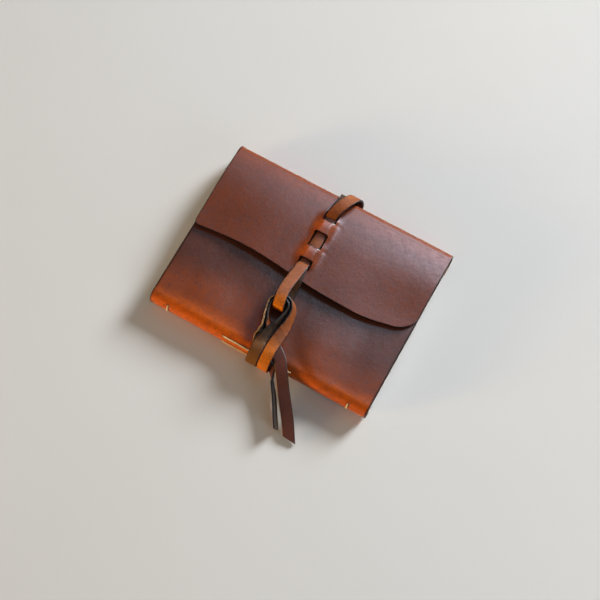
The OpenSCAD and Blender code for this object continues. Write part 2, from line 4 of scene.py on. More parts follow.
import bpy
import numpy as np
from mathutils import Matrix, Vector


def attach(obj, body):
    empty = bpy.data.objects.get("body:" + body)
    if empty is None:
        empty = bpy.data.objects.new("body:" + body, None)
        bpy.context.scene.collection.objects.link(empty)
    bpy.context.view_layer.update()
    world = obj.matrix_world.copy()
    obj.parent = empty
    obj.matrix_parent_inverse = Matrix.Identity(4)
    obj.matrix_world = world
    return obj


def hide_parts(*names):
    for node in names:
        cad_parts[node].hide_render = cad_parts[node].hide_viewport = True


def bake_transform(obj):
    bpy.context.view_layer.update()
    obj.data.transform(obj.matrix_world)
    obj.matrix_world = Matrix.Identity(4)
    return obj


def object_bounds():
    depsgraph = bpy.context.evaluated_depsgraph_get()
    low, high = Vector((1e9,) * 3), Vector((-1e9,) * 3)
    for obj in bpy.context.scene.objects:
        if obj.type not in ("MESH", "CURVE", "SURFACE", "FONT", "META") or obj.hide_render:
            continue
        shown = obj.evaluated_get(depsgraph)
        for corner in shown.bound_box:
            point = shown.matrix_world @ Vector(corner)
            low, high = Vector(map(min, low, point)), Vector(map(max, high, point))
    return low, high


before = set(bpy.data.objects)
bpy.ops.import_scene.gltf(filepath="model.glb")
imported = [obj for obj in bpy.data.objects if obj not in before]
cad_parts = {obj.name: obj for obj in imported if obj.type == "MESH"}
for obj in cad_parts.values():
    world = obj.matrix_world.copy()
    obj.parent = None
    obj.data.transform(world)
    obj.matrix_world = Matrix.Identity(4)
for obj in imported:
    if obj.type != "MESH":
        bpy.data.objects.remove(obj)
cad_low, cad_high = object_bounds()
MM = 0.001

# Sizes that the solids have, in millimetres
HALF = round(cad_high[0] / MM, 2)
HALF_WIDTH = 53.5
LEATHER, AIR = 1.6, 0.1
TOP_R, TOP_Z = 6.0, 6.34
LOW_R, LOW_Z = 3.0, 4.4
FORE_R = 5.5
FRONT_EDGE, FLAP_TOP = 42.14, 16.44
LACE_W, LACE_T, LACE_X = 7.0, 1.3, -1.9
LEFT_X, RIGHT_X = -0.9, 6.3
SLIT_FIRST, SLIT_PITCH, SLIT_MARGIN = 18.0, 9.0, 1.1
BACK_RUN, LEAD, SPINE_ROOM = 46.0, 0.6, 3.3

# Sizes of the dressed slits: how far the flap dips and rises at the lace, and half the cut
DIP, RISE = 2.3, 2.2
SLIT_HALF, CORE = 4.3, 3.6

# Places that follow from these sizes
SPINE_Y, FOLD_Y = -HALF_WIDTH, HALF_WIDTH
TOP_Y, LOW_Y, FORE_Y = SPINE_Y + TOP_R, SPINE_Y + LOW_R, FOLD_Y - FORE_R
FRONT_TOP, BACK_Z = TOP_Z + TOP_R, LOW_Z - LOW_R
FORE_LOW_Z, FORE_TOP_Z = BACK_Z + FORE_R, FLAP_TOP - FORE_R
SLITS = [FOLD_Y - SLIT_FIRST - SLIT_PITCH * k for k in range(4)]
INNER_PLY = FRONT_TOP + LEATHER + 3 * AIR + LACE_T / 2
OUTER_PLY = INNER_PLY + LACE_T + AIR
STRAND_R = TOP_R + SPINE_ROOM + LACE_T / 2
BIGHT_START, ARCH_START = SLITS[3] - SLIT_MARGIN, SLITS[0] + SLIT_MARGIN
ON_FRONT = FRONT_TOP + AIR + LACE_T / 2


# Camera

CAMERA_PLACE = Vector((106.627, -192.687, 706.479)) * MM
CAMERA_AIM = Vector((4.2, -9.733, 0)) * MM

scene = bpy.context.scene
camera = bpy.data.objects.new("camera", bpy.data.cameras.new("camera"))
scene.collection.objects.link(camera)
camera.data.sensor_width = 36
camera.data.lens = 76.2
camera.location = CAMERA_PLACE
camera.rotation_euler = (CAMERA_AIM - CAMERA_PLACE).to_track_quat("-Z", "Y").to_euler()
camera.data.clip_start = 0.05
scene.camera = camera
scene.view_settings.view_transform = "Standard"


def smooth(t):
    """A soft step from 0 to 1 as t goes from 0 to 1."""
    t = np.clip(t, 0, 1)
    return t * t * (3 - 2 * t)


def linear(r, g, b):
    """A screen colour of 0 to 255 as the shader's linear one."""
    def channel(c):
        c /= 255
        return c / 12.92 if c <= 0.04 else ((c + 0.055) / 1.055) ** 2.4
    return channel(r), channel(g), channel(b), 1


# Materials

class Nodes:
    """A short way to write a material's nodes."""

    def __init__(self, name):
        self.mat = bpy.data.materials.new(name)
        self.mat.use_nodes = True
        self.tree = self.mat.node_tree
        self.shader = self.tree.nodes["Principled BSDF"]

    def add(self, kind, values=(), **options):
        node = self.tree.nodes.new("ShaderNode" + kind)
        for key, value in options.items():
            setattr(node, key, value)
        for key, value in dict(values).items():
            self.put(node.inputs[key], value)
        return node

    def put(self, socket, value):
        if isinstance(value, bpy.types.NodeSocket):
            self.tree.links.new(value, socket)
        else:
            socket.default_value = value

    def math(self, operation, a, b=0.0, c=0.0):
        node = self.add("Math", operation=operation)
        for socket, value in zip(node.inputs, (a, b, c)):
            self.put(socket, value)
        return node.outputs[0]

    def ramp(self, value, low, high, out_low=0.0, out_high=1.0):
        limits = {"Value": value, "From Min": low, "From Max": high, "To Min": out_low, "To Max": out_high}
        return self.add("MapRange", limits, interpolation_type="SMOOTHSTEP").outputs["Result"]

    def mix(self, factor, a, b, blend="MIX"):
        node = self.add("Mix", data_type="RGBA", blend_type=blend)
        self.put(node.inputs[0], factor)
        self.put(node.inputs[6], a)
        self.put(node.inputs[7], b)
        return node.outputs[2]

    def noise(self, place, scale, detail=2.0, roughness=0.5):
        return self.add("TexNoise", {"Vector": place, "Scale": scale, "Detail": detail,
                                     "Roughness": roughness}).outputs["Fac"]

    def attribute(self, name):
        return self.add("Attribute", attribute_name=name).outputs["Fac"]

    def place(self, layer="hide", scale=(1, 1, 1)):
        uv = self.add("UVMap", uv_map=layer).outputs["UV"]
        if scale == (1, 1, 1):
            return uv
        return self.add("Mapping", {"Vector": uv, "Scale": scale}).outputs["Vector"]

    def bump(self, height, strength, distance, before=None):
        node = self.add("Bump", {"Height": height, "Strength": strength, "Distance": distance})
        if before is not None:
            self.put(node.inputs["Normal"], before)
        return node.outputs["Normal"]


def grain_leather(name, deep, mid, warm, rough, gloss):
    """Vegetable-tanned grain side. One UV unit is 10 mm."""
    n = Nodes(name)
    uv = n.place()
    cloud = n.noise(uv, 0.45, 5, 0.6)
    patch = n.noise(uv, 2.6, 5, 0.7)
    pores = n.noise(uv, 19, 4, 0.75)
    specks = n.noise(uv, 7, 2, 0.4)
    cells = n.add("TexVoronoi", {"Vector": uv, "Scale": 14.0}, feature="DISTANCE_TO_EDGE").outputs["Distance"]
    scratch = n.noise(n.place(scale=(0.5, 11, 1)), 2.4, 3, 0.6)
    colour = n.mix(n.ramp(cloud, 0.32, 0.68), deep, mid)
    # Mix in the warm colour by a vertex value: partly real burnish, partly painted warm lamp light and
    # painted highlights.
    warmth = n.math("MULTIPLY", n.attribute("burnish_and_glow"), n.ramp(patch, 0.2, 0.7, 1.15, 0.75))
    colour = n.mix(warmth, colour, warm)
    dark = n.math("ADD", n.ramp(pores, 0.5, 0.72, 0, 0.55), n.ramp(scratch, 0.68, 0.78, 0, 0.2))
    dark = n.math("ADD", dark, n.ramp(specks, 0.6, 0.74, 0, 0.45))
    dark = n.math("ADD", dark, n.ramp(patch, 0.45, 0.72, 0, 0.13))
    colour = n.mix(dark, colour, linear(44, 20, 14))
    colour = n.mix(n.attribute("shade"), colour, linear(22, 11, 10))
    n.put(n.shader.inputs["Base Color"], colour)
    blur = n.math("ADD", n.math("MULTIPLY", patch, 0.6), n.math("MULTIPLY", pores, 0.4))
    n.put(n.shader.inputs["Roughness"], n.ramp(blur, 0.3, 0.75, rough - 0.06, rough + 0.12))
    n.put(n.shader.inputs["Specular IOR Level"], gloss)
    normal = n.bump(n.ramp(cells, 0.0, 0.2), 0.12, 0.0001)
    normal = n.bump(pores, 0.22, 0.0001, normal)
    normal = n.bump(n.math("ADD", patch, n.math("MULTIPLY", scratch, 0.25)), 0.25, 0.0004, normal)
    n.put(n.shader.inputs["Normal"], normal)
    return n.mat


def flesh_leather(name, deep, mid):
    """Suede-like back of the hide."""
    n = Nodes(name)
    uv = n.place()
    cloud = n.noise(uv, 1.6, 4, 0.6)
    fibre = n.noise(n.place(scale=(1, 0.35, 1)), 30, 4, 0.75)
    colour = n.mix(n.ramp(cloud, 0.3, 0.7), deep, mid)
    # Toward orange where the vertex warmth is high: partly burnish, partly painted warm lamp light on the
    # flesh side.
    lightened = n.math("MULTIPLY", n.math("POWER", n.attribute("burnish_and_glow"), 2.0), 0.45)
    colour = n.mix(lightened, colour, linear(168, 104, 38))
    colour = n.mix(n.ramp(fibre, 0.5, 0.75, 0, 0.5), colour, linear(34, 24, 15))
    n.put(n.shader.inputs["Base Color"], colour)
    n.put(n.shader.inputs["Roughness"], n.ramp(fibre, 0.3, 0.7, 0.7, 0.9))
    n.put(n.shader.inputs["Specular IOR Level"], 0.3)
    n.put(n.shader.inputs["Normal"], n.bump(fibre, 0.6, 0.0002))
    return n.mat


def edge_leather(name, deep, mid):
    """Burnished cut edge."""
    n = Nodes(name)
    streak = n.noise(n.place(), 8, 4, 0.7)
    colour = n.mix(n.ramp(streak, 0.45, 0.75), deep, mid)
    n.put(n.shader.inputs["Base Color"], colour)
    n.put(n.shader.inputs["Roughness"], n.ramp(streak, 0.3, 0.7, 0.35, 0.6))
    n.put(n.shader.inputs["Normal"], n.bump(streak, 0.3, 0.0002))
    return n.mat


def paper_material(name):
    """Uncoated paper."""
    n = Nodes(name)
    uv = n.place()
    fibre = n.noise(uv, 22, 4, 0.7)
    cloud = n.noise(uv, 1.2, 2)
    colour = n.mix(n.ramp(cloud, 0.3, 0.7), linear(214, 210, 204), linear(226, 222, 214))
    colour = n.mix(n.ramp(fibre, 0.52, 0.78, 0, 0.3), colour, linear(176, 168, 158))
    n.put(n.shader.inputs["Base Color"], colour)
    n.put(n.shader.inputs["Roughness"], n.ramp(fibre, 0.3, 0.7, 0.75, 0.92))
    n.put(n.shader.inputs["Normal"], n.bump(fibre, 0.3, 0.0001))
    return n.mat


def thread_material(name):
    """Cream waxed thread, streaked along its plies."""
    n = Nodes(name)
    uv = n.place()
    fibre = n.noise(n.place(scale=(1, 0.3, 1)), 60, 3, 0.7)
    cloud = n.noise(uv, 6, 2)
    colour = n.mix(n.ramp(fibre, 0.35, 0.75), linear(255, 238, 186), linear(226, 190, 126))
    colour = n.mix(n.ramp(cloud, 0.5, 0.8, 0, 0.4), colour, linear(190, 150, 88))
    n.put(n.shader.inputs["Base Color"], colour)
    n.put(n.shader.inputs["Roughness"], n.ramp(fibre, 0.3, 0.7, 0.4, 0.6))
    n.put(n.shader.inputs["Normal"], n.bump(fibre, 0.4, 0.0001))
    return n.mat


# Each grain leather's third colour is its warm orange, used for burnish and also for painted warm lamp light.
COVER_GRAIN = grain_leather("cover_grain", linear(80, 39, 25), linear(97, 48, 30), linear(220, 98, 0),
                            rough=0.34, gloss=0.4)
COVER_FLESH = flesh_leather("cover_flesh", linear(120, 84, 56), linear(150, 108, 74))
COVER_EDGE = edge_leather("cover_edge", linear(24, 14, 12), linear(52, 30, 22))
LACE_GRAIN = grain_leather("lace_grain", linear(86, 46, 34), linear(104, 53, 36), linear(226, 122, 22),
                           rough=0.52, gloss=0.22)
LACE_EDGE_PALE = edge_leather("lace_edge_pale", linear(150, 104, 58), linear(206, 164, 104))
LACE_FLESH = flesh_leather("lace_flesh", linear(40, 28, 17), linear(64, 45, 26))
LACE_EDGE = edge_leather("lace_edge", linear(16, 11, 12), linear(48, 34, 28))
PAPER = paper_material("paper")
THREAD = thread_material("thread")
# Near-black colour for the sewing holes: painted shade inside the holes.
HOLE_SHADE = edge_leather("hole", linear(8, 5, 4), linear(18, 10, 8))


# Mesh making

def make(name, verts, faces, uvs, mats, face_mats, layers=None, sharp=50):
    """verts in millimetres; uvs one pair per vertex; layers holds named values per vertex."""
    mesh = bpy.data.meshes.new(name)
    mesh.from_pydata([tuple(c * MM for c in v) for v in verts], [], faces)
    uv = mesh.uv_layers.new(name="hide")
    loop_verts = np.zeros(len(mesh.loops), np.int32)
    mesh.loops.foreach_get("vertex_index", loop_verts)
    uv.data.foreach_set("uv", np.asarray(uvs, np.float32)[loop_verts].ravel())
    for m in mats:
        mesh.materials.append(m)
    mesh.polygons.foreach_set("material_index", np.asarray(face_mats, np.int32))
    for key, values in (layers or {}).items():
        layer = mesh.attributes.new(key, "FLOAT", "POINT")
        layer.data.foreach_set("value", np.asarray(values, np.float32))
    mesh.polygons.foreach_set("use_smooth", np.ones(len(mesh.polygons), bool))
    mesh.set_sharp_from_angle(angle=math.radians(sharp))
    mesh.validate()
    mesh.update()
    obj = bpy.data.objects.new(name, mesh)
    scene.collection.objects.link(obj)
    return obj


def run(start, end, step):
    """Even places from start to end, both included."""
    count = max(1, round(abs(end - start) / step))
    return [start + (end - start) * k / count for k in range(count + 1)]


def joined(*lists):
    """Sorted places without near doubles."""
    out = []
    for place in sorted(place for places in lists for place in places):
        if not out or place - out[-1] > 0.02:
            out.append(place)
    return out


# A cut edge is rounded: its rows lie at these distances, and it falls by this much
RIM = [0.0, 0.12, 0.35]
RIM_FALL = 0.42


def rim_drop(d):
    """How far a surface falls at a distance d from its cut edge."""
    return RIM_FALL * (1 - min(max(d, 0) / RIM[-1], 1)) ** 2


# The hide: its section as one path on the grain side, from the front cover's free edge round to the flap

SECTION = [
    ("line", (FRONT_EDGE, FRONT_TOP), (TOP_Y, FRONT_TOP)),
    ("arc", (TOP_Y, TOP_Z), TOP_R, 90, 180),
    ("line", (SPINE_Y, TOP_Z), (SPINE_Y, LOW_Z)),
    ("arc", (LOW_Y, LOW_Z), LOW_R, 180, 270),
    ("line", (LOW_Y, BACK_Z), (FORE_Y, BACK_Z)),
    ("arc", (FORE_Y, FORE_LOW_Z), FORE_R, 270, 360),
    ("line", (FOLD_Y, FORE_LOW_Z), (FOLD_Y, FORE_TOP_Z)),
    ("arc", (FORE_Y, FORE_TOP_Z), FORE_R, 0, 90),
    ("line", (FORE_Y, FLAP_TOP), (-12.0, FLAP_TOP)),
]
STARTS = [0.0]
for part in SECTION:
    if part[0] == "line":
        length = math.dist(part[1], part[2])
    else:
        length = math.radians(part[4] - part[3]) * part[2]
    STARTS.append(STARTS[-1] + length)


def on_path(s):
    """Place (y, z) and outward direction on the grain side at a length s."""
    k = max(i for i in range(len(SECTION)) if STARTS[i] <= s + 1e-9)
    part, along = SECTION[k], s - STARTS[k]
    if part[0] == "line":
        (y0, z0), (y1, z1) = part[1], part[2]
        total = math.dist(part[1], part[2])
        dy, dz = (y1 - y0) / total, (z1 - z0) / total
        return y0 + dy * along, z0 + dz * along, dz, -dy
    (y0, z0), radius = part[1], part[2]
    angle = math.radians(part[3]) + along / radius
    out_y, out_z = math.cos(angle), math.sin(angle)
    return y0 + radius * out_y, z0 + radius * out_z, out_y, out_z


def hide(name, xs, rows, cuts=()):
    """A piece of the hide with two sides and rims.

    rows[j](x, side) gives the path length, the swell outward, the distance to a cut edge and the warmth:
    burnish and painted warm lamp light.
    A cut is a row and its first and last column. Along it, side is 0 before and 1 after the slit, and
    beside it side is None.
    """
    verts, uvs, burnish_and_glow, shade, faces, mats = [], [], [], [], [], []
    ids = {}

    def vertex(i, j, side, layer):
        x = xs[i]
        slit = any(j == cj and i0 < i < i1 for cj, i0, i1 in cuts)
        beside_slit = not slit and any(j == cut[0] for cut in cuts)
        key = (i, j, side if slit else 0, layer)
        if key in ids:
            return ids[key]
        s, swell, edge, warm = rows[j](x, side if slit else None if beside_slit else 0)
        edge = min(edge, HALF - abs(x))
        y, z, ny, nz = on_path(s)
        drop = rim_drop(edge)
        out = swell - drop if layer == 0 else swell - LEATHER + drop
        ids[key] = len(verts)
        verts.append((x, y + ny * out, z + nz * out))
        uvs.append((x / 10, s / 10))
        burnish_and_glow.append(warm)
        shade.append(1 - float(smooth((edge - 0.3) / 0.5)))
        return ids[key]

    def quad(a, b, c, d, mat):
        faces.append((a, b, c, d))
        mats.append(mat)

    last_i, last_j = len(xs) - 1, len(rows) - 1
    for j in range(last_j):
        for i in range(last_i):
            corners = [(i, j, 1), (i + 1, j, 1), (i + 1, j + 1, 0), (i, j + 1, 0)]
            top = [vertex(*c, 0) for c in corners]
            low = [vertex(*c, 1) for c in corners]
            quad(*top, 0)
            quad(*reversed(low), 1)
            if j == 0:
                quad(top[1], top[0], low[0], low[1], 2)
            if j == last_j - 1:
                quad(top[3], top[2], low[2], low[3], 2)
            if i == 0:
                quad(top[0], top[3], low[3], low[0], 2)
            if i == last_i - 1:
                quad(top[2], top[1], low[1], low[2], 2)
            for cj, i0, i1 in cuts:
                if i0 <= i < i1 and j == cj:
                    quad(top[1], top[0], low[0], low[1], 2)
                if i0 <= i < i1 and j + 1 == cj:
                    quad(top[3], top[2], low[2], low[3], 2)
    return make(name, verts, faces, uvs, [COVER_GRAIN, COVER_FLESH, COVER_EDGE], mats,
                {"burnish_and_glow": burnish_and_glow, "shade": shade})


END_COLUMNS = [k * (HALF - d) for k in (-1, 1) for d in RIM]


# Front cover and the spine's upper bend

def front_swell(x, y, s):
    """Soft unevenness of the front cover; it lies flat where the lace and the stitches are."""
    over = s - STARTS[1]
    past = 0.63 * (x - 12) + 0.778 * (y + 36)
    rise = 6 + 0.8 * max(0, y + 44)
    right = 0.95 * smooth(past / rise) * math.exp(-(max(0, past - rise) / 20) ** 2)
    right *= smooth((x - 8) / 8) * smooth((54 - x) / 12) * smooth((-6 - y) / 26)
    left = 0.55 * math.exp(-((x + 40) / 14) ** 2) * math.exp(-(max(0, y + 40) / 16) ** 2)
    left *= smooth((-24 - x) / 8) * smooth((x + 56) / 8)
    ripple = 0.1 * (1 + math.sin(0.16 * x + 0.07 * y) * math.sin(0.11 * y - 0.05 * x + 1))
    fade = 1 - smooth((over - 4) / 4)
    ends = smooth((HALF - abs(x)) / 14)
    ripple *= (1 - smooth((over + 6) / 6)) * smooth((30 - abs(y + 20)) / 12)
    return (right + left) * fade * ends + ripple


def front_row(s):
    """A row of the front cover, warm toward the spine: partly burnish, partly painted warm lamp light."""
    def row(x, side):
        y = on_path(s)[0]
        over = s - STARTS[1]
        # Warmer toward the spine bend: burnish and painted warm lamp light.
        warm = 0.25 * smooth((over + 28 - 6 * math.sin(x / 21)) / 22)
        warm += 0.7 * smooth((over + 7 - 2 * math.sin(x / 17)) / 11)
        # Less warm near x = 16 at the bend: painted shade in the crease beside the lace tails.
        warm *= 1 - 0.35 * math.exp(-((x - 16) / 8) ** 2) * (1 - smooth((over - 1) / 6))
        # Painted warm light on the right of the cover.
        warm += 0.15 * math.exp(-((x - 34) / 20) ** 2 - ((y + 34) / 14) ** 2)
        # Less warm toward the right: painted warm lamp light fading away from the lamp on the left.
        warm *= 1 - 0.22 * smooth((x + 30) / 60)
        return s, front_swell(x, y, s), s - STARTS[0], min(warm, 1)
    return row


front_columns = joined(END_COLUMNS, run(-HALF, HALF, 1.5))
front_lengths = joined(RIM, run(0, STARTS[1] - 20, 2.2), run(STARTS[1] - 20, STARTS[1], 1.2),
                       run(STARTS[1], STARTS[2], 0.55))
cover_front = hide("cover_front", front_columns, [front_row(s) for s in front_lengths])


# Spine and back

# Where the back meets the fore-edge piece, where that meets the flap, and a distance clear of every edge
BACK_SEAM = STARTS[5] - 2
STRIP_MID = (STARTS[6] + STARTS[7]) / 2
NO_EDGE = 9.0


def plain_row(s):
    """A row without swell, warm at the spine as burnish and painted warm lamp light, and a little burnished
    at the fore-edge.
    """
    def row(x, side):
        # Strong warmth round the spine bend: burnish and painted warm lamp light.
        warm = 0.12 + 0.95 * (1 - smooth((s - STARTS[3] - 2) / 16))
        warm += 0.18 * smooth((s - BACK_SEAM) / (STRIP_MID - BACK_SEAM))
        return s, 0.0, NO_EDGE, min(warm, 1)
    return row


plain_columns = joined(END_COLUMNS, run(-HALF, HALF, 3))
back_lengths = joined(run(STARTS[2], STARTS[3], 0.65), run(STARTS[3], STARTS[4], 0.5),
                      run(STARTS[4], BACK_SEAM, 3))
cover_back = hide("cover_back", plain_columns, [plain_row(s) for s in back_lengths])

low_lengths = joined([BACK_SEAM], run(STARTS[5], STARTS[6], 0.6), [STRIP_MID])
cover_fore_edge = hide("cover_fore_edge", plain_columns, [plain_row(s) for s in low_lengths])


# Flap

EDGE_Y, WAVE_AMP, WAVE_LEN, WAVE_CREST = -3.3, 2.3, 125, -38.5
CORNER_LEFT, CORNER_RIGHT = 4.0, 12.0


def wave(x):
    """The flap's free edge, with its rounded corners."""
    turn = 2 * math.pi * (x - WAVE_CREST) / WAVE_LEN
    lift = smooth((x - 48) / 14) - 0.7 * math.exp(-((x - 40) / 9) ** 2)
    y = EDGE_Y + lift + WAVE_AMP * math.cos(turn)
    radius = CORNER_LEFT if x < 0 else CORNER_RIGHT
    past = max(0, abs(x) - HALF + radius)
    return y + radius - math.sqrt(max(radius ** 2 - past ** 2, 0))


def ridge(u):
    """Height of the leather over the lace, falling off to both sides."""
    return RISE * math.exp(-(max(0, u - 2.0) / 3.3) ** 2)


def beside(u, y, region):
    """Height of the leather beside the slits."""
    if region in (1, 3):
        return ridge(u)
    if region == 2:
        return ridge(u) * (1 - 0.55 * math.sin(math.pi * (SLITS[1] - y) / SLIT_PITCH))
    run_out = (y - SLITS[0]) if region == 0 else (SLITS[3] - y)
    return ridge(u) * math.exp(-(run_out / 3.5) ** 2)


def under(y, region):
    """Height of the leather under the lace."""
    run_out = 0 if region == 2 else (y - SLITS[0]) if region == 0 else (SLITS[3] - y)
    return -DIP * (1 - smooth((run_out - 1.5) / 5))


# How far the flap has fallen where it starts to turn over the fore-edge, and where that fall begins
FOLD_FALL, FALL_Y = 1.7, 22
LOWEST_SWELL = FRONT_TOP + AIR / 2 + LEATHER - FLAP_TOP


def flap_swell(x, y, region):
    """Height of the flap's leather. region counts the slits that lie between a place and the fold."""
    u = abs(x - LACE_X)
    near = beside(max(u, SLIT_HALF), y, region)
    if region in (1, 3):
        arch = math.cos(2 * math.pi * (SLITS[region - 1] - y) / SLIT_PITCH)
        near = ridge(u) - 0.12 * arch * (1 - smooth((u - 2) / 2.3))
    elif u < SLIT_HALF:
        near = under(y, region) + (near - under(y, region)) * smooth((u - CORE) / (SLIT_HALF - CORE))
    pucker = 0.32 * smooth((x - LACE_X + 6) / 4) * smooth((LACE_X + 10 - x) / 5)
    near -= pucker * sum(math.exp(-((y - slit) / 1.4) ** 2) for slit in SLITS[::2])
    droop = 1.5 * smooth((abs(x + 2) - 22) / 46) * smooth((38 - y) / 36)
    fall = FOLD_FALL * (max(0, y - FALL_Y) / (FORE_Y - FALL_Y)) ** 2
    return max(near - droop - fall, LOWEST_SWELL)


def slit_warm(x, y):
    """The leather between the slits is painted orange on its left, a painted highlight of the warm lamp, over
    a light burnish along the lace.
    """
    u = abs(x - LACE_X)
    # Painted warm highlight on the left flanks of the bridges between the slits.
    lightened = 0.42 * math.exp(-((x - LACE_X + 3.4) / 3.6) ** 2)
    lightened *= math.exp(-((y - 30.6) / 3.6) ** 2) + math.exp(-((y - 12.2) / 3.8) ** 2)
    return lightened + 0.12 * math.exp(-(max(0, u - 2.5) / 5) ** 2) * smooth((y - 3) / 4) * smooth((41 - y) / 5)


# Rows of the flap pass the slits straight down to LAST_ROW, and close in on the wavy edge over EDGE_BAND
LAST_ROW, EDGE_BAND, EDGE_RIM = 4.0, 6.0, 0.9


def flap_row(y_ref, index, low=None):
    """A row of the flap at y_ref in the middle, or at a height low over the wavy edge."""
    def row(x, side):
        edge = wave(x)
        middle = 1 - smooth((abs(x - LACE_X) - 12) / 18)
        if low is None:
            share = (FORE_Y - y_ref) / (FORE_Y - LAST_ROW)
            even = FORE_Y + (edge + EDGE_BAND - FORE_Y) * share
            y = middle * y_ref + (1 - middle) * even
        elif low < EDGE_RIM:
            y = edge + low
        else:
            top = middle * LAST_ROW + (1 - middle) * (edge + EDGE_BAND)
            share = (low - EDGE_RIM) / (EDGE_BAND - EDGE_RIM)
            y = edge + EDGE_RIM + (top - edge - EDGE_RIM) * share
        region = index if side in (0, None) else index + 1
        distance = y - edge
        u = abs(x - LACE_X)
        swell = flap_swell(x, y, region)
        if side is not None and u < SLIT_HALF:
            for slit in SLITS:
                distance = min(distance, abs(y - slit) + 0.3 * smooth((u - 3.9) / 0.4))
        s = STARTS[8] + FORE_Y - y
        warm = 0.12 + slit_warm(x, y) + 0.12 * smooth((y - 40) / 8)
        return s, swell, distance, min(warm, 1)
    return row


def fold_row(s):
    """A row where the flap turns over the fore-edge; the fall runs out with an even slope."""
    def row(x, side):
        t = min((STARTS[8] - s) / (STARTS[8] - STARTS[7]), 1)
        return s, -FOLD_FALL * (1 + 2.66 * t) * (1 - t) ** 2, NO_EDGE, 0.24 + 0.06 * t
    return row


def nearest_column(x):
    return min(range(len(flap_columns)), key=lambda i: abs(flap_columns[i] - x))


u_fine = joined(run(-12, -5, 0.5), run(-5, -3.2, 0.15), run(-3.2, 3.2, 0.45), run(3.2, 5, 0.15),
                run(5, 12, 0.5))
flap_columns = joined(END_COLUMNS, [LACE_X + u for u in u_fine], run(-HALF, -62, 0.7),
                      run(-62, LACE_X - 12.5, 1.6), run(LACE_X + 12.5, 42, 1.6), run(42, HALF, 0.7),
                      [LACE_X - SLIT_HALF, LACE_X + SLIT_HALF])
slit_from, slit_to = nearest_column(LACE_X - SLIT_HALF), nearest_column(LACE_X + SLIT_HALF)
flap_rows = [fold_row(s) for s in joined([STRIP_MID], run(STARTS[7], STARTS[8] - 0.02, 0.55))]
flap_rows += [flap_row(FORE_Y - v, 0) for v in run(0, FORE_Y - SLITS[0] - 0.6, 0.8)]
cuts = []
for k, slit in enumerate(SLITS):
    flap_rows += [flap_row(slit + d, k) for d in reversed(RIM[1:])]
    cuts.append((len(flap_rows), slit_from, slit_to))
    flap_rows.append(flap_row(slit, k))
    flap_rows += [flap_row(slit - d, k + 1) for d in RIM[1:]]
    end = SLITS[k + 1] + RIM[-1] if k < 3 else LAST_ROW
    flap_rows += [flap_row(y, k + 1) for y in run(slit - RIM[-1], end, 0.7)[1:-1]]
band_steps = [EDGE_BAND, 5.2, 4.4, 3.6, 2.8, 2.1, 1.4, EDGE_RIM]
flap_rows += [flap_row(None, 4, low) for low in band_steps + RIM[::-1]]
cover_flap = hide("cover_flap", flap_columns, flap_rows, cuts)

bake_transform(cover_front)
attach(cover_back, "back")
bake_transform(cover_fore_edge)
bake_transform(cover_flap)
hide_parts("front_cover", "front_bend")
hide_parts("back_cover", "spine")
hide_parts("fore_edge_lower_bend")
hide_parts("fore_edge_strip", "fore_edge_upper_bend", "flap")


# The lace: one strip in two plies. Each entry of a route is a place and the direction of the strip's width.

FLAT, DOWN = (1, 0, 0), (0, 0, -1)


def flat_run(*points):
    """A route that keeps the strip level across its width."""
    return [(p, FLAT) for p in points]


bight_route = flat_run(
    (LACE_X, BIGHT_START, OUTER_PLY), (LACE_X, BIGHT_START - LEAD, OUTER_PLY),
    (LACE_X - 0.1, 4.6, FLAP_TOP + 1.5), (LACE_X - 0.2, 2.6, FLAP_TOP + 2.5),
    (LACE_X - 0.5, -1.5, FLAP_TOP + 3.4), (LACE_X - 0.9, -6, FLAP_TOP + 4.3),
    (LACE_X - 1.4, -13, FLAP_TOP + 5.6), (LACE_X - 0.8, -20, FLAP_TOP + 5.9),
    (LACE_X, -23.6, FLAP_TOP + 4.3), (LACE_X + 0.5, -24.9, FRONT_TOP + 4.6),
    (LACE_X + 0.9, -23.4, FRONT_TOP + 1.7), (LACE_X + 1.3, -20.4, ON_FRONT + 0.3),
    (LACE_X + 1.5, -17, ON_FRONT + 0.1), (LACE_X + 1.6, -13.5, ON_FRONT + 0.3),
    (LACE_X + 1.4, -8.6, FRONT_TOP + 2.4), (LACE_X + 0.8, -4.6, FLAP_TOP + 0.7),
    (LACE_X + 0.3, 0, FLAP_TOP + 0.8), (LACE_X, 3.5, FLAP_TOP + 0.45),
    (LACE_X, BIGHT_START - LEAD, INNER_PLY), (LACE_X, BIGHT_START, INNER_PLY))
arch_outer_route = flat_run(
    (LACE_X, ARCH_START, OUTER_PLY), (LACE_X, ARCH_START + LEAD, OUTER_PLY),
    (LACE_X + 0.1, 38.4, OUTER_PLY + 1.3), (LACE_X + 0.3, 39.7, FLAP_TOP + 2.1),
    (LACE_X + 1.4, 43.5, FLAP_TOP + 3.3), (LACE_X + 3.2, 48, FLAP_TOP + 3.8),
    (LACE_X + 5.2, FOLD_Y - 1.2, FLAP_TOP + 2.9), (LACE_X + 6.6, FOLD_Y + 2.6, FLAP_TOP - 1.4),
    (RIGHT_X - 0.2, FOLD_Y + 3.6, FORE_TOP_Z - 2), (RIGHT_X, FOLD_Y + 2.8, FORE_LOW_Z - 2.4),
    (RIGHT_X, FOLD_Y - 0.6, LACE_T + 0.7), (RIGHT_X, FORE_Y + 2.4, LACE_T / 2 + 0.3),
    (RIGHT_X, FORE_Y + 0.2, LACE_T / 2 + 0.02), (RIGHT_X, FORE_Y - 0.8, LACE_T / 2),
    (RIGHT_X, BACK_RUN + LEAD, LACE_T / 2), (RIGHT_X, BACK_RUN, LACE_T / 2))
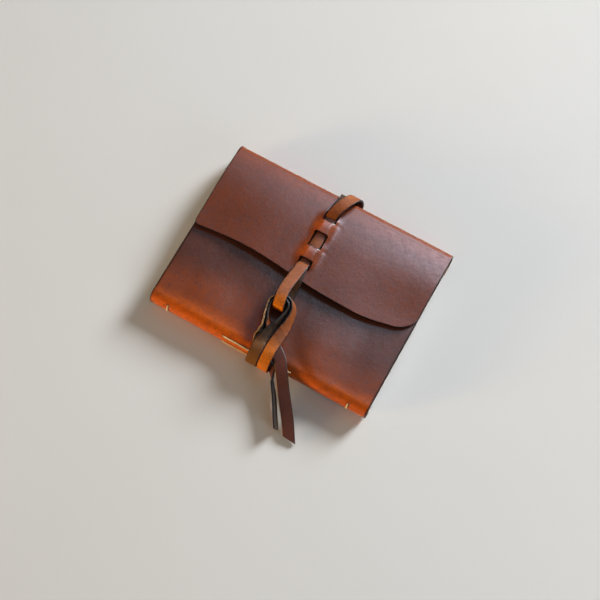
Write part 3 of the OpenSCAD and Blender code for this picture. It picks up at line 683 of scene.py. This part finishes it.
arch_inner_route = flat_run(
    (LACE_X, ARCH_START, INNER_PLY), (LACE_X, ARCH_START + LEAD, INNER_PLY),
    (LACE_X, 38.4, INNER_PLY + 0.65), (LACE_X, 39.7, FLAP_TOP),
    (LACE_X, 41.5, FLAP_TOP + 0.9), (LACE_X + 0.5, 43.5, FLAP_TOP + 1.1),
    (LACE_X + 1.2, FORE_Y, FLAP_TOP + 1.0), (LACE_X + 1.5, FORE_Y + 3.6, FLAP_TOP - 0.1),
    (LACE_X + 1.3, FORE_Y + 6.2, FORE_TOP_Z + 2.8), (LEFT_X - 0.3, FOLD_Y + 1.3, FORE_TOP_Z - 1.6),
    (LEFT_X - 0.1, FOLD_Y + 1.1, FORE_LOW_Z - 0.6), (LEFT_X, FORE_Y + 4.7, LACE_T + 0.75),
    (LEFT_X, FORE_Y + 2.2, LACE_T / 2 + 0.25),
    (LEFT_X, FORE_Y + 0.2, LACE_T / 2 + 0.02), (LEFT_X, FORE_Y - 0.8, LACE_T / 2),
    (LEFT_X, BACK_RUN + LEAD, LACE_T / 2), (LEFT_X, BACK_RUN, LACE_T / 2))


def spine_route(x):
    """From under the back, off the table and round the spine's upper bend."""
    places = [(x, -BACK_RUN, LACE_T / 2), (x, -BACK_RUN - LEAD, LACE_T / 2),
              (x, LOW_Y + 1.6, LACE_T / 2 + 0.01), (x, LOW_Y + 0.8, LACE_T / 2 + 0.02),
              (x, LOW_Y - 0.2, LACE_T / 2 + 0.06), (x, LOW_Y - 1.4, LACE_T / 2 + 0.32),
              (x, LOW_Y - 2.8, LACE_T + 0.1), (x, LOW_Y - 4.1, LACE_T + 1.15),
              (x, SPINE_Y - SPINE_ROOM + 0.4, LOW_Z - 0.4), (x, SPINE_Y - SPINE_ROOM - LACE_T / 2, TOP_Z)]
    for degrees in (22.5, 45, 67.5, 90):
        angle = math.radians(degrees)
        places.append((x, TOP_Y - STRAND_R * math.cos(angle), TOP_Z + STRAND_R * math.sin(angle)))
    return flat_run(*places)


def over_front(*entries):
    """Entries of x, y, the height over the front cover's top and the direction of the width."""
    return [((x, y, FRONT_TOP + height), width) for x, y, height, width in entries]


R, L = RIGHT_X, LEFT_X
hitch_outer = [((R, TOP_Y + LEAD, TOP_Z + STRAND_R), FLAT)] + over_front(
    (R + 0.3, -41, 4.2, (0.98, 0, -0.17)), (R + 0.7, -37, 4.4, (0.94, 0, -0.34)),
    (R + 1, -33, 4.6, (0.82, 0, -0.57)), (R + 1.1, -29, 4.8, (0.57, 0, -0.82)),
    (R + 0.9, -24.5, 4.9, (0.42, 0.05, -0.91)), (R - 0.3, -20.4, 5.3, (0.28, 0.18, -0.94)),
    (R - 3.3, -17.2, 5.4, (0.1, 0.2, -0.97)), (R - 7, -16.6, 5.4, DOWN),
    (L - 3.6, -17.8, 5.3, DOWN), (L - 7, -21.4, 4.9, DOWN),
    (L - 6.7, -27.6, 4.2, DOWN), (L - 5, -32.6, 3.85, (0.1, 0.05, -0.99)),
    (L - 3.3, -36.6, 3.75, (0.26, 0.2, -0.94)), (L - 2.6, -40, 3.3, (0.5, 0.45, -0.72)),
    (L - 2.2, -43.2, 2.3, (0.72, 0.55, -0.3)), (L - 1.2, -46, 1.5, (0.66, 0.74, -0.05)))
hitch_inner = [((L, TOP_Y + LEAD, TOP_Z + STRAND_R), FLAT)] + over_front(
    (L + 0.4, -44, 4.1, (0.94, 0, -0.34)), (L + 0.9, -41, 4.5, (0.82, 0, -0.57)),
    (L + 1.9, -37, 4.7, (0.64, 0, -0.77)), (L + 3.1, -33, 4.8, (0.34, 0, -0.94)),
    (L + 4.1, -29, 4.9, (0.25, 0, -0.97)), (L + 5, -24.5, 5, (0.25, 0.05, -0.97)),
    (L + 4.8, -21.4, 5.3, (0.18, 0.12, -0.97)), (L + 3.2, -19.3, 5.4, (0.05, 0.15, -0.98)),
    (L + 0.4, -18.7, 5.4, DOWN), (L - 2.8, -19.7, 5.3, DOWN),
    (L - 5.4, -22.5, 4.9, DOWN), (L - 5.2, -27.4, 4.2, DOWN),
    (L - 3.2, -31.6, 3.8, (0.1, 0.05, -0.99)), (L - 1.1, -34.6, 3.5, (0.45, 0.3, -0.84)),
    (L + 1.2, -37.4, 2.4, (0.64, 0.6, -0.47)), (L + 4.4, -40.6, 1, (0.64, 0.77, -0.05)))
tail_short = over_front(
    (L + 1.1, -49.1, 0.85, (0.66, 0.74, 0.1)), (L + 4.4, -51.3, 0.4, (0.62, 0.67, 0.4)),
    (L + 7.5, -53.3, -0.8, (0.6, 0.53, 0.6)), (L + 11.6, -54.9, -3.2, (0.4, 0.35, 0.85)),
    (L + 14.2, -58, -4.8, (0.1, 0.15, 0.97)), (L + 16.5, -62, -5.4, (-0.1, -0.1, 0.99)),
    (L + 19.9, -66.4, -6.2, (-0.14, -0.2, 0.97)), (L + 23, -71.2, -7, (-0.15, -0.21, 0.96)),
    (L + 26.1, -76.2, -7.7, (-0.16, -0.21, 0.96)), (L + 30.7, -83.2, -8.3, (-0.17, -0.21, 0.96)))
tail_long = over_front(
    (L + 7, -43.7, 0.8, (0.6, 0.8, 0)), (L + 11, -46.3, 0.85, (0.64, 0.76, 0.03)),
    (L + 14.7, -49.6, 0.85, (0.7, 0.71, 0.1)), (L + 17.4, -53.4, 0.4, (0.75, 0.66, 0.1)),
    (L + 20.4, -57.6, -1, (0.78, 0.62, 0.05)), (L + 23.7, -62.3, -3.2, (0.8, 0.6, 0)),
    (L + 27.4, -67, -5, (0.8, 0.6, 0)), (L + 31, -71.8, -6.8, (0.8, 0.6, 0)),
    (L + 34.6, -76.6, -8.3, (0.8, 0.6, 0)), (L + 37.5, -81, -9.6, (0.8, 0.6, 0)),
    (L + 39.9, -84.8, -10.6, (0.8, 0.6, 0)))
outer_route = spine_route(R) + hitch_outer + tail_short
inner_route = spine_route(L) + hitch_inner + tail_long
SPINE_END = len(spine_route(0)) - 1
OUTER_TUCK = SPINE_END + len(hitch_outer)
INNER_TUCK = SPINE_END + len(hitch_inner)
STEPS = 8


def smooth_line(route):
    """The smooth middle line and widths of a route, as the solids have them, in finer steps."""
    p = np.array([r[0] for r in route], float)
    w = np.array([r[1] for r in route], float)

    def travel(before, after):
        b, a = np.linalg.norm(before), np.linalg.norm(after)
        if b < 1e-6:
            return after / a
        if a < 1e-6:
            return before / b
        return (before / b * a + after / a * b) / (a + b)

    n = len(p)
    line, widths = [], []
    for i in range(n - 1):
        before, here, after = p[i] - p[max(i - 1, 0)], p[i + 1] - p[i], p[min(i + 2, n - 1)] - p[i + 1]
        start, end, length = travel(before, here), travel(here, after), np.linalg.norm(here)
        for k in range(STEPS):
            t = k / STEPS
            line.append(p[i] * (2 * t ** 3 - 3 * t ** 2 + 1) + p[i + 1] * (3 * t ** 2 - 2 * t ** 3)
                        + length * (start * (t ** 3 - 2 * t ** 2 + t) + end * (t ** 3 - t ** 2)))
            e = 0.5 - 0.5 * math.cos(math.pi * t)
            widths.append(w[i] * (1 - e) + w[i + 1] * e)
    return np.array(line + [p[-1]]), np.array(widths + [w[-1]])


def lace_profile():
    """Section of the lace: places across and through it, and which face each belongs to."""
    w, h, c = LACE_W / 2, LACE_T / 2, 0.32
    points = [(a, h - 0.05 * (a / w) ** 2, 0) for a in np.linspace(-w + c, w - c, 9)]
    for k in range(1, 4):
        a = math.radians(90 - 22.5 * k)
        points.append((w - c + c * math.cos(a), h - 0.05 - c + c * math.sin(a), 2))
    points += [(w, -h + 0.05 + c, 2)]
    for k in range(1, 3):
        a = math.radians(-30 * k)
        points.append((w - c + c * math.cos(a), -h + 0.05 + c + c * math.sin(a), 2))
    lower = [(a, -h + 0.05 * (a / w) ** 2, 1) for a in np.linspace(w - c, -w + c, 9)]
    left = [(-a, b, 2) for a, b, _ in reversed(points[9:])]
    return points + lower + left


PROFILE = lace_profile()


def ribbon(name, route, first, last, grain_up, warm=None, slant=0.0, bow=None, pale=None):
    """A stretch of lace between two entries of a route.

    grain_up says that its grain is on the side of heading x width. warm(y) sets its warmth, burnish and
    painted warm lamp light, slant cuts its end, bow(y) rounds it over its width and pale(place) says where
    its left edge is pale, raw leather with a painted highlight of the warm lamp.
    """
    line, widths = smooth_line(route)
    first, last = first * STEPS, last * STEPS
    end = len(line) - 1
    lengths = np.concatenate([[0], np.cumsum(np.linalg.norm(np.diff(line, axis=0), axis=1))])
    verts, uvs, burnish_and_glow, shade, faces, mats = [], [], [], [], [], []
    n = len(PROFILE)
    for i in range(first, last + 1):
        t = line[min(i + 1, end)] - line[max(i - 1, 0)]
        t /= np.linalg.norm(t)
        side = widths[i] - (widths[i] @ t) * t
        side /= np.linalg.norm(side)
        face = np.cross(t, side)
        round_off = bow(line[i][1]) * np.sign(face[2]) if bow else 0
        run_on = slant * max(0, 1 - (last - i) / (2 * STEPS))
        for a, b, _ in PROFILE:
            across = a / (LACE_W / 2)
            verts.append(line[i] + side * a + face * (b - round_off * across ** 2) + run_on * across * t)
            uvs.append(((a + (20 if b < 0 else 0)) / 10, lengths[i] / 10))
            burnish_and_glow.append(float(warm(line[i][1])) if warm else 0)
            shade.append(0.55 * smooth((abs(a) - 2.9) / 0.6))
    rings = last - first + 1
    kinds = {0: 0 if grain_up else 1, 1: 1 if grain_up else 0, 2: 2}
    for i in range(rings - 1):
        for k in range(n):
            m = (k + 1) % n
            faces.append((i * n + k, i * n + m, (i + 1) * n + m, (i + 1) * n + k))
            kind = kinds[PROFILE[k][2] if PROFILE[k][2] == PROFILE[m][2] else 2]
            # Left edges pale: raw leather and a painted highlight of the warm lamp.
            lightened = pale and pale(line[first + i]) and PROFILE[k][0] < 0
            mats.append(3 if kind == 2 and lightened and -0.4 < PROFILE[k][1] < 0.62 else kind)
    faces.append(tuple(reversed(range(n))))
    faces.append(tuple((rings - 1) * n + k for k in range(n)))
    mats += [2, 2]
    obj = make(name, verts, faces, uvs, [LACE_GRAIN, LACE_FLESH, LACE_EDGE, LACE_EDGE_PALE], mats,
               {"burnish_and_glow": burnish_and_glow, "shade": shade}, sharp=60)
    return obj, line[first:last + 1], lengths[last] - lengths[first]


def weave_bow(y):
    """The woven lace is a little rounded where the flap presses on it."""
    return 0.45 * smooth((y - 2) / 5) * smooth((44 - y) / 7)


def strand_warm(y):
    """The lace is brighter at the spine, as wear and painted warm lamp light, and a little over the fold."""
    return 0.25 + 0.7 * smooth((-38 - y) / 11) + 0.15 * smooth((y - 38) / 10)


def loop_warm(y):
    """The bight is painted brightest where it bends: a painted warm highlight where it faces the lamp."""
    return 0.3 + 0.12 * smooth((5 - y) / 8) + 0.55 * smooth((-15 - y) / 7)


def pale_limb_edge(p):
    """The left edge of a strand is pale at the spine and on the left of the hitch: raw leather with a painted
    highlight of the warm lamp.
    """
    return p[1] < -40 or p[0] < LEFT_X - 1


def pale_tail_edge(p):
    """The tails' left edges are pale all along."""
    return True


def straight(x, z, y_from, y_to):
    """A straight level route."""
    return flat_run(*[(x, y, z) for y in run(y_from, y_to, 3)])


TIP_SLANT = 2.6
for node, route, tuck, slant in (("lace_tail_short", outer_route, OUTER_TUCK, 0.0),
                                 ("lace_tail_long", inner_route, INNER_TUCK, TIP_SLANT)):
    tail, path, length = ribbon(node, route, tuck, len(route) - 1, True, slant=slant, pale=pale_tail_edge)
    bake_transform(tail)
    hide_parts(node)

hitch_a = ribbon("lace_hitch_outer", outer_route, SPINE_END, OUTER_TUCK, False, strand_warm,
                 pale=pale_limb_edge)[0]
hitch_b = ribbon("lace_hitch_inner", inner_route, SPINE_END, INNER_TUCK, True, strand_warm)[0]
for piece, node in ((hitch_a, "lace_hitch_outer"), (hitch_b, "lace_hitch_inner")):
    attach(piece, "front")
    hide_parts(node)
spine_a = ribbon("lace_spine_right", outer_route, 0, SPINE_END, False, strand_warm, pale=pale_limb_edge)[0]
spine_b = ribbon("lace_spine_left", inner_route, 0, SPINE_END, True, strand_warm)[0]
for piece, node in ((spine_a, "lace_spine_right"), (spine_b, "lace_spine_left")):
    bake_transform(piece)
    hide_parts(node)
bight = ribbon("lace_bight", bight_route, 0, len(bight_route) - 1, True, loop_warm, bow=weave_bow)[0]
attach(bight, "flap")
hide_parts("lace_bight")
for name, z, grain_up in (("lace_weave_outer", OUTER_PLY, True), ("lace_weave_inner", INNER_PLY, False)):
    route = straight(LACE_X, z, ARCH_START, BIGHT_START)
    piece = ribbon(name, route, 0, len(route) - 1, grain_up, loop_warm, bow=weave_bow)[0]
    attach(piece, "flap")
    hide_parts(name)
for name, x, grain_up in (("lace_back_right", RIGHT_X, False), ("lace_back_left", LEFT_X, True)):
    route = straight(x, LACE_T / 2, BACK_RUN, -BACK_RUN)
    piece = ribbon(name, route, 0, len(route) - 1, grain_up, strand_warm)[0]
    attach(piece, "back")
    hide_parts(name)

# Each arch is parted at its entry beside the fore-edge strip, because its halves bend about different folds
for name, route, mid, grain_up in (("lace_arch_outer", arch_outer_route, 8, False),
                                   ("lace_arch_inner", arch_inner_route, 9, True)):
    upper = ribbon(name, route, 0, mid, grain_up, strand_warm, bow=weave_bow)[0]
    lower = ribbon(name + "_low", route, mid, len(route) - 1, grain_up, strand_warm)[0]
    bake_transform(upper)
    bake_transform(lower)
    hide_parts(name)


# Pages

SHEET_COUNT, SHEET, SHEET_AIR, CORE_H = 6, 0.2, 0.035, 0.9
PAGE_W, PAGE_HALF, TAIL_PROUD, UNEVEN = 90.0, 70.3, 0.55, 0.25
CREEP, LEAF_GAP, LOWER_STEP = 0.35, 0.15, 0.2
SHEET_PITCH = SHEET + SHEET_AIR
LEAF_RUN = PAGE_W - CORE_H / 2 - SHEET_COUNT * SHEET_PITCH

# The middle of each signature's fold, in Y and Z
LOWER_FOLD, UPPER_FOLD = (-49.84, 4.96), (TOP_Y, 8.78)


def sheet_mesh(verts, uvs, faces, outline, rng):
    """Runs a sheet's outline (outer and inner places in Y and Z) along the spine."""
    head = -PAGE_HALF + UNEVEN * rng.random()
    tail = PAGE_HALF + TAIL_PROUD - UNEVEN * rng.random()
    xs = [head] + [20.0 * k for k in range(-3, 4)] + [tail]
    base, m = len(verts), len(outline)
    for x in xs:
        for (y, z), (y2, z2), s in outline:
            verts.append((x, y, z))
            verts.append((x, y2, z2))
            uvs += [(x / 10, s / 10), (x / 10, s / 10 + 30)]
    for i in range(len(xs) - 1):
        for k in range(m - 1):
            a = base + i * 2 * m + 2 * k
            b = a + 2 * m
            faces.append((a, a + 2, b + 2, b))
            faces.append((a + 1, b + 1, b + 3, a + 3))
        for k, flip in ((0, False), (m - 1, True)):
            a = base + i * 2 * m + 2 * k
            b = a + 2 * m
            faces.append((a, a + 1, b + 1, b) if flip else (a, b, b + 1, a + 1))
    for i, flip in ((0, False), (len(xs) - 1, True)):
        for k in range(m - 1):
            a = base + i * 2 * m + 2 * k
            faces.append((a, a + 2, a + 3, a + 1) if flip else (a, a + 1, a + 3, a + 2))


def folded(fold_y, mid_z, k, leaves, rng):
    """Outline of a folded sheet: the lower leaf, the fold and the upper leaf."""
    inner = CORE_H / 2 + k * SHEET_PITCH
    outer = inner + SHEET
    low_run, top_run = [LEAF_RUN - CREEP * rng.random() for _ in range(2)]
    out, s = [], 0.0
    if -1 in leaves:
        for t in run(1, 0, 0.2):
            y = fold_y + low_run * t
            out.append(((y, mid_z - outer), (y, mid_z - inner), (1 - t) * low_run))
        s = low_run
    for degrees in range(15 if out else 0, 181, 15):
        angle = math.radians(degrees)
        dy, dz = -math.sin(angle), -math.cos(angle)
        out.append(((fold_y + outer * dy, mid_z + outer * dz), (fold_y + inner * dy, mid_z + inner * dz),
                    s + angle * outer))
    s += math.pi * outer
    if 1 in leaves:
        for t in run(0, 1, 0.2)[1:]:
            y = fold_y + top_run * t
            out.append(((y, mid_z + outer), (y, mid_z + inner), s + t * top_run))
    return out


def signature(name, fold_y, mid_z, last_leaves, seed):
    """Folded sheets, one round the other; the outermost has only the leaves in last_leaves."""
    rng = random.Random(seed)
    verts, uvs, faces = [], [], []
    for k in range(SHEET_COUNT):
        leaves = (-1, 1) if k < SHEET_COUNT - 1 else last_leaves
        sheet_mesh(verts, uvs, faces, folded(fold_y, mid_z, k, leaves, rng), rng)
    obj = make(name, verts, faces, uvs, [PAPER], [0] * len(faces))
    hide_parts(name)
    return obj


def turning_leaf(name, seed):
    """The upper leaf of the outermost sheet, which lies just clear of its fold."""
    z = UPPER_FOLD[1] + CORE_H / 2 + (SHEET_COUNT - 1) * SHEET_PITCH
    outline = []
    for t in run(0, 1, 0.1):
        y = UPPER_FOLD[0] + LEAF_GAP + (LEAF_RUN - 2 * LEAF_GAP) * t
        outline.append(((y, z + SHEET), (y, z), t * LEAF_RUN))
    verts, uvs, faces = [], [], []
    sheet_mesh(verts, uvs, faces, outline, random.Random(seed))
    return make(name, verts, faces, uvs, [PAPER], [0] * len(faces))


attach(signature("lower_signature", LOWER_FOLD[0] + LOWER_STEP, LOWER_FOLD[1], (-1, 1), 3), "back")
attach(signature("upper_signature", *UPPER_FOLD, (-1,), 5), "back")
leaf = turning_leaf("first_leaf", 9)
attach(leaf, "leaf")
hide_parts("first_leaf")


# Waxed thread, two plies twisted together

THREAD_R, TURN, ROW = 0.4, 0.4, 0.05
PLY_R, PLY_OFFSET, PLY_LAY, PLY_SIDES, THREAD_STEP = 0.31, 0.25, 1.9, 6, 0.45
INNER_X, OUTER_X = 22.0, 58.5
HOLE_PLACES = (-OUTER_X, -INNER_X, INNER_X, OUTER_X)
ROW_ANGLE = math.radians(40)
row_dir = np.array([0, -math.cos(ROW_ANGLE), math.sin(ROW_ANGLE)])
bend_centre = np.array([0, TOP_Y, TOP_Z])
out_low = np.array([0, SPINE_Y - THREAD_R - ROW, LOWER_FOLD[1]])
out_top = bend_centre + (TOP_R + THREAD_R + ROW) * row_dir
in_low, in_top = np.array([0, *LOWER_FOLD]), np.array([0, *UPPER_FOLD])
neck = bend_centre + (TOP_R - LEATHER) * row_dir
cross_r = TOP_R + THREAD_R + 2 * ROW
cross_end = ROW_ANGLE - TURN / cross_r
cross = [bend_centre + cross_r * np.array([0, -math.cos(angle), math.sin(angle)])
         for angle in np.linspace(0, cross_end, 4)]
BACK_STEP, UP_STEP = np.array([0, TURN, 0]), np.array([0, 0, TURN])


def at(x, p):
    """The place p of the section, moved to x."""
    return np.array([x, p[1], p[2]])


def low_pass(x, way):
    """Out through the spine from the lower fold."""
    return [at(x - way * TURN, in_low), at(x, in_low - BACK_STEP), at(x, out_low + BACK_STEP),
            at(x + way * TURN, out_low)]


def top_pass(x, way):
    """Out through the bend from the upper fold."""
    return [at(x - way * TURN, in_top), at(x, in_top - BACK_STEP), at(x, neck),
            at(x, out_top - TURN * row_dir), at(x + way * TURN, out_top)]


def end_pass(x, way):
    """Over the spine at one end, from the lower fold to the upper one."""
    up = low_pass(x, way)[:3] + [at(x, out_low + UP_STEP)] + [at(x, p) for p in cross]
    return up + top_pass(x, way)[3::-1]


thread_points = (low_pass(-INNER_X, 1) + low_pass(INNER_X, -1)[::-1] + end_pass(OUTER_X, 1)
                 + top_pass(INNER_X, -1) + top_pass(-INNER_X, 1)[::-1] + end_pass(-OUTER_X, -1)[::-1])


def thread(name, points):
    """Two plies wound round the thread's line, closed on themselves."""
    line = []
    count = len(points)
    for i in range(count):
        a, b = points[i], points[(i + 1) % count]
        step = THREAD_STEP / max(np.linalg.norm(b - a), THREAD_STEP)
        line += [a + (b - a) * k for k in run(0, 1, step)[:-1]]
    line = np.array(line)
    for _ in range(2):
        line = 0.25 * np.roll(line, 1, 0) + 0.5 * line + 0.25 * np.roll(line, -1, 0)
    n, sides = len(line), PLY_SIDES
    lengths = np.concatenate([[0], np.cumsum(np.linalg.norm(np.diff(line, axis=0), axis=1))])
    total = lengths[-1] + np.linalg.norm(line[0] - line[-1])
    turns = round(total / PLY_LAY)
    verts, uvs, faces = [], [], []
    for ply in (0, 1):
        base = len(verts)
        for i in range(n):
            t = line[(i + 1) % n] - line[i - 1]
            t /= np.linalg.norm(t)
            a = np.cross(t, (1, 0, 0) if abs(t[2]) > 0.8 else (0, 0, 1))
            a /= np.linalg.norm(a)
            b = np.cross(t, a)
            twist = 2 * math.pi * turns * lengths[i] / total + math.pi * ply
            centre = line[i] + PLY_OFFSET * (a * math.cos(twist) + b * math.sin(twist))
            for k in range(sides):
                v = 2 * math.pi * k / sides
                verts.append(centre + PLY_R * (a * math.cos(v) + b * math.sin(v)))
                uvs.append((k / sides * 0.14, lengths[i] / 10))
        for i in range(n):
            for k in range(sides):
                m, j = (k + 1) % sides, (i + 1) % n
                here, there = base + i * sides, base + j * sides
                faces.append((here + k, here + m, there + m, there + k))
    return make(name, verts, faces, uvs, [THREAD], [0] * len(faces), sharp=80)


binding = thread("binding_thread", thread_points)
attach(binding, "back")
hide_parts("binding_thread")


# Sewing holes: a small sunk ring round each place where the thread goes in, near black as painted shade in
# the hole

HOLE_RINGS, HOLE_SIDES, HOLE_SINK = ((0.85, -0.02), (0.62, 0.05), (0.5, -0.05)), 16, 0.05


def holes(name):
    """One mesh for all holes; each ring is a radius and a height over the hide."""
    verts, uvs, faces, sides = [], [], [], HOLE_SIDES
    rows = ((np.array([0, SPINE_Y, LOWER_FOLD[1]]), np.array([0, -1.0, 0])),
            (bend_centre + TOP_R * row_dir, row_dir))
    for x, p, d in [(x, *row) for row in rows for x in HOLE_PLACES]:
        p = at(x, p)
        a, b = np.array([1.0, 0, 0]), np.cross(d, (1.0, 0, 0))
        base = len(verts)
        for r, h in HOLE_RINGS:
            for k in range(sides):
                v = 2 * math.pi * k / sides
                verts.append(p + d * h + r * (a * math.cos(v) + b * math.sin(v)))
                uvs.append((x / 10 + r * math.cos(v) / 10, r * math.sin(v) / 10))
        verts.append(p - d * HOLE_SINK)
        uvs.append((x / 10, 0))
        for here in (base, base + sides):
            there = here + sides
            for k in range(sides):
                m = (k + 1) % sides
                faces.append((here + k, here + m, there + m, there + k))
        for k in range(sides):
            faces.append((base + 2 * sides + k, base + 2 * sides + (k + 1) % sides, base + 3 * sides))
    return make(name, verts, faces, uvs, [HOLE_SHADE], [0] * len(faces), sharp=80)


sewing_holes = holes("sewing_holes")
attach(sewing_holes, "back")


# Floor and light

def floor_material():
    """A plain pale floor."""
    n = Nodes("floor")
    cloud = n.noise(n.add("TexCoord").outputs["Object"], 6, 3)
    n.put(n.shader.inputs["Base Color"], n.mix(cloud, linear(226, 224, 220), linear(232, 230, 227)))
    n.put(n.shader.inputs["Roughness"], 0.8)
    return n.mat


bpy.ops.mesh.primitive_plane_add(size=4)
floor = bpy.context.object
floor.name = "floor"
floor.data.materials.append(floor_material())

world = bpy.data.worlds.new("world")
scene.world = world
world.use_nodes = True
world.node_tree.nodes["Background"].inputs["Color"].default_value = (1.0, 0.88, 0.74, 1)
world.node_tree.nodes["Background"].inputs["Strength"].default_value = 0.13


def area(name, place, size, power, colour, spread=180):
    """A soft lamp that points at the object."""
    light = bpy.data.lights.new(name, "AREA")
    light.size, light.energy, light.color = size, power, colour
    light.spread = math.radians(spread)
    obj = bpy.data.objects.new(name, light)
    scene.collection.objects.link(obj)
    obj.location = place
    obj.rotation_euler = (-Vector(place)).to_track_quat("-Z", "Y").to_euler()
    return obj


# The window only makes sheen and the lamp only warms colours, so that neither glares or clips
window = area("window", (0.1, 0.58, 0.75), 0.36, 9.5, (0.68, 0.8, 1.0))
window.visible_diffuse = False
area("sky", (0.8, 2.17, 0.96), 0.8, 17.8, (0.9, 0.95, 1.0), 75)
lamp = area("lamp", (-1.76, -1.76, 0.286), 0.55, 9.7, (1.0, 0.74, 0.42), 75)
lamp.visible_glossy = False
area("fill", (0.95, -0.25, 0.32), 0.4, 2, (0.85, 0.92, 1.0))
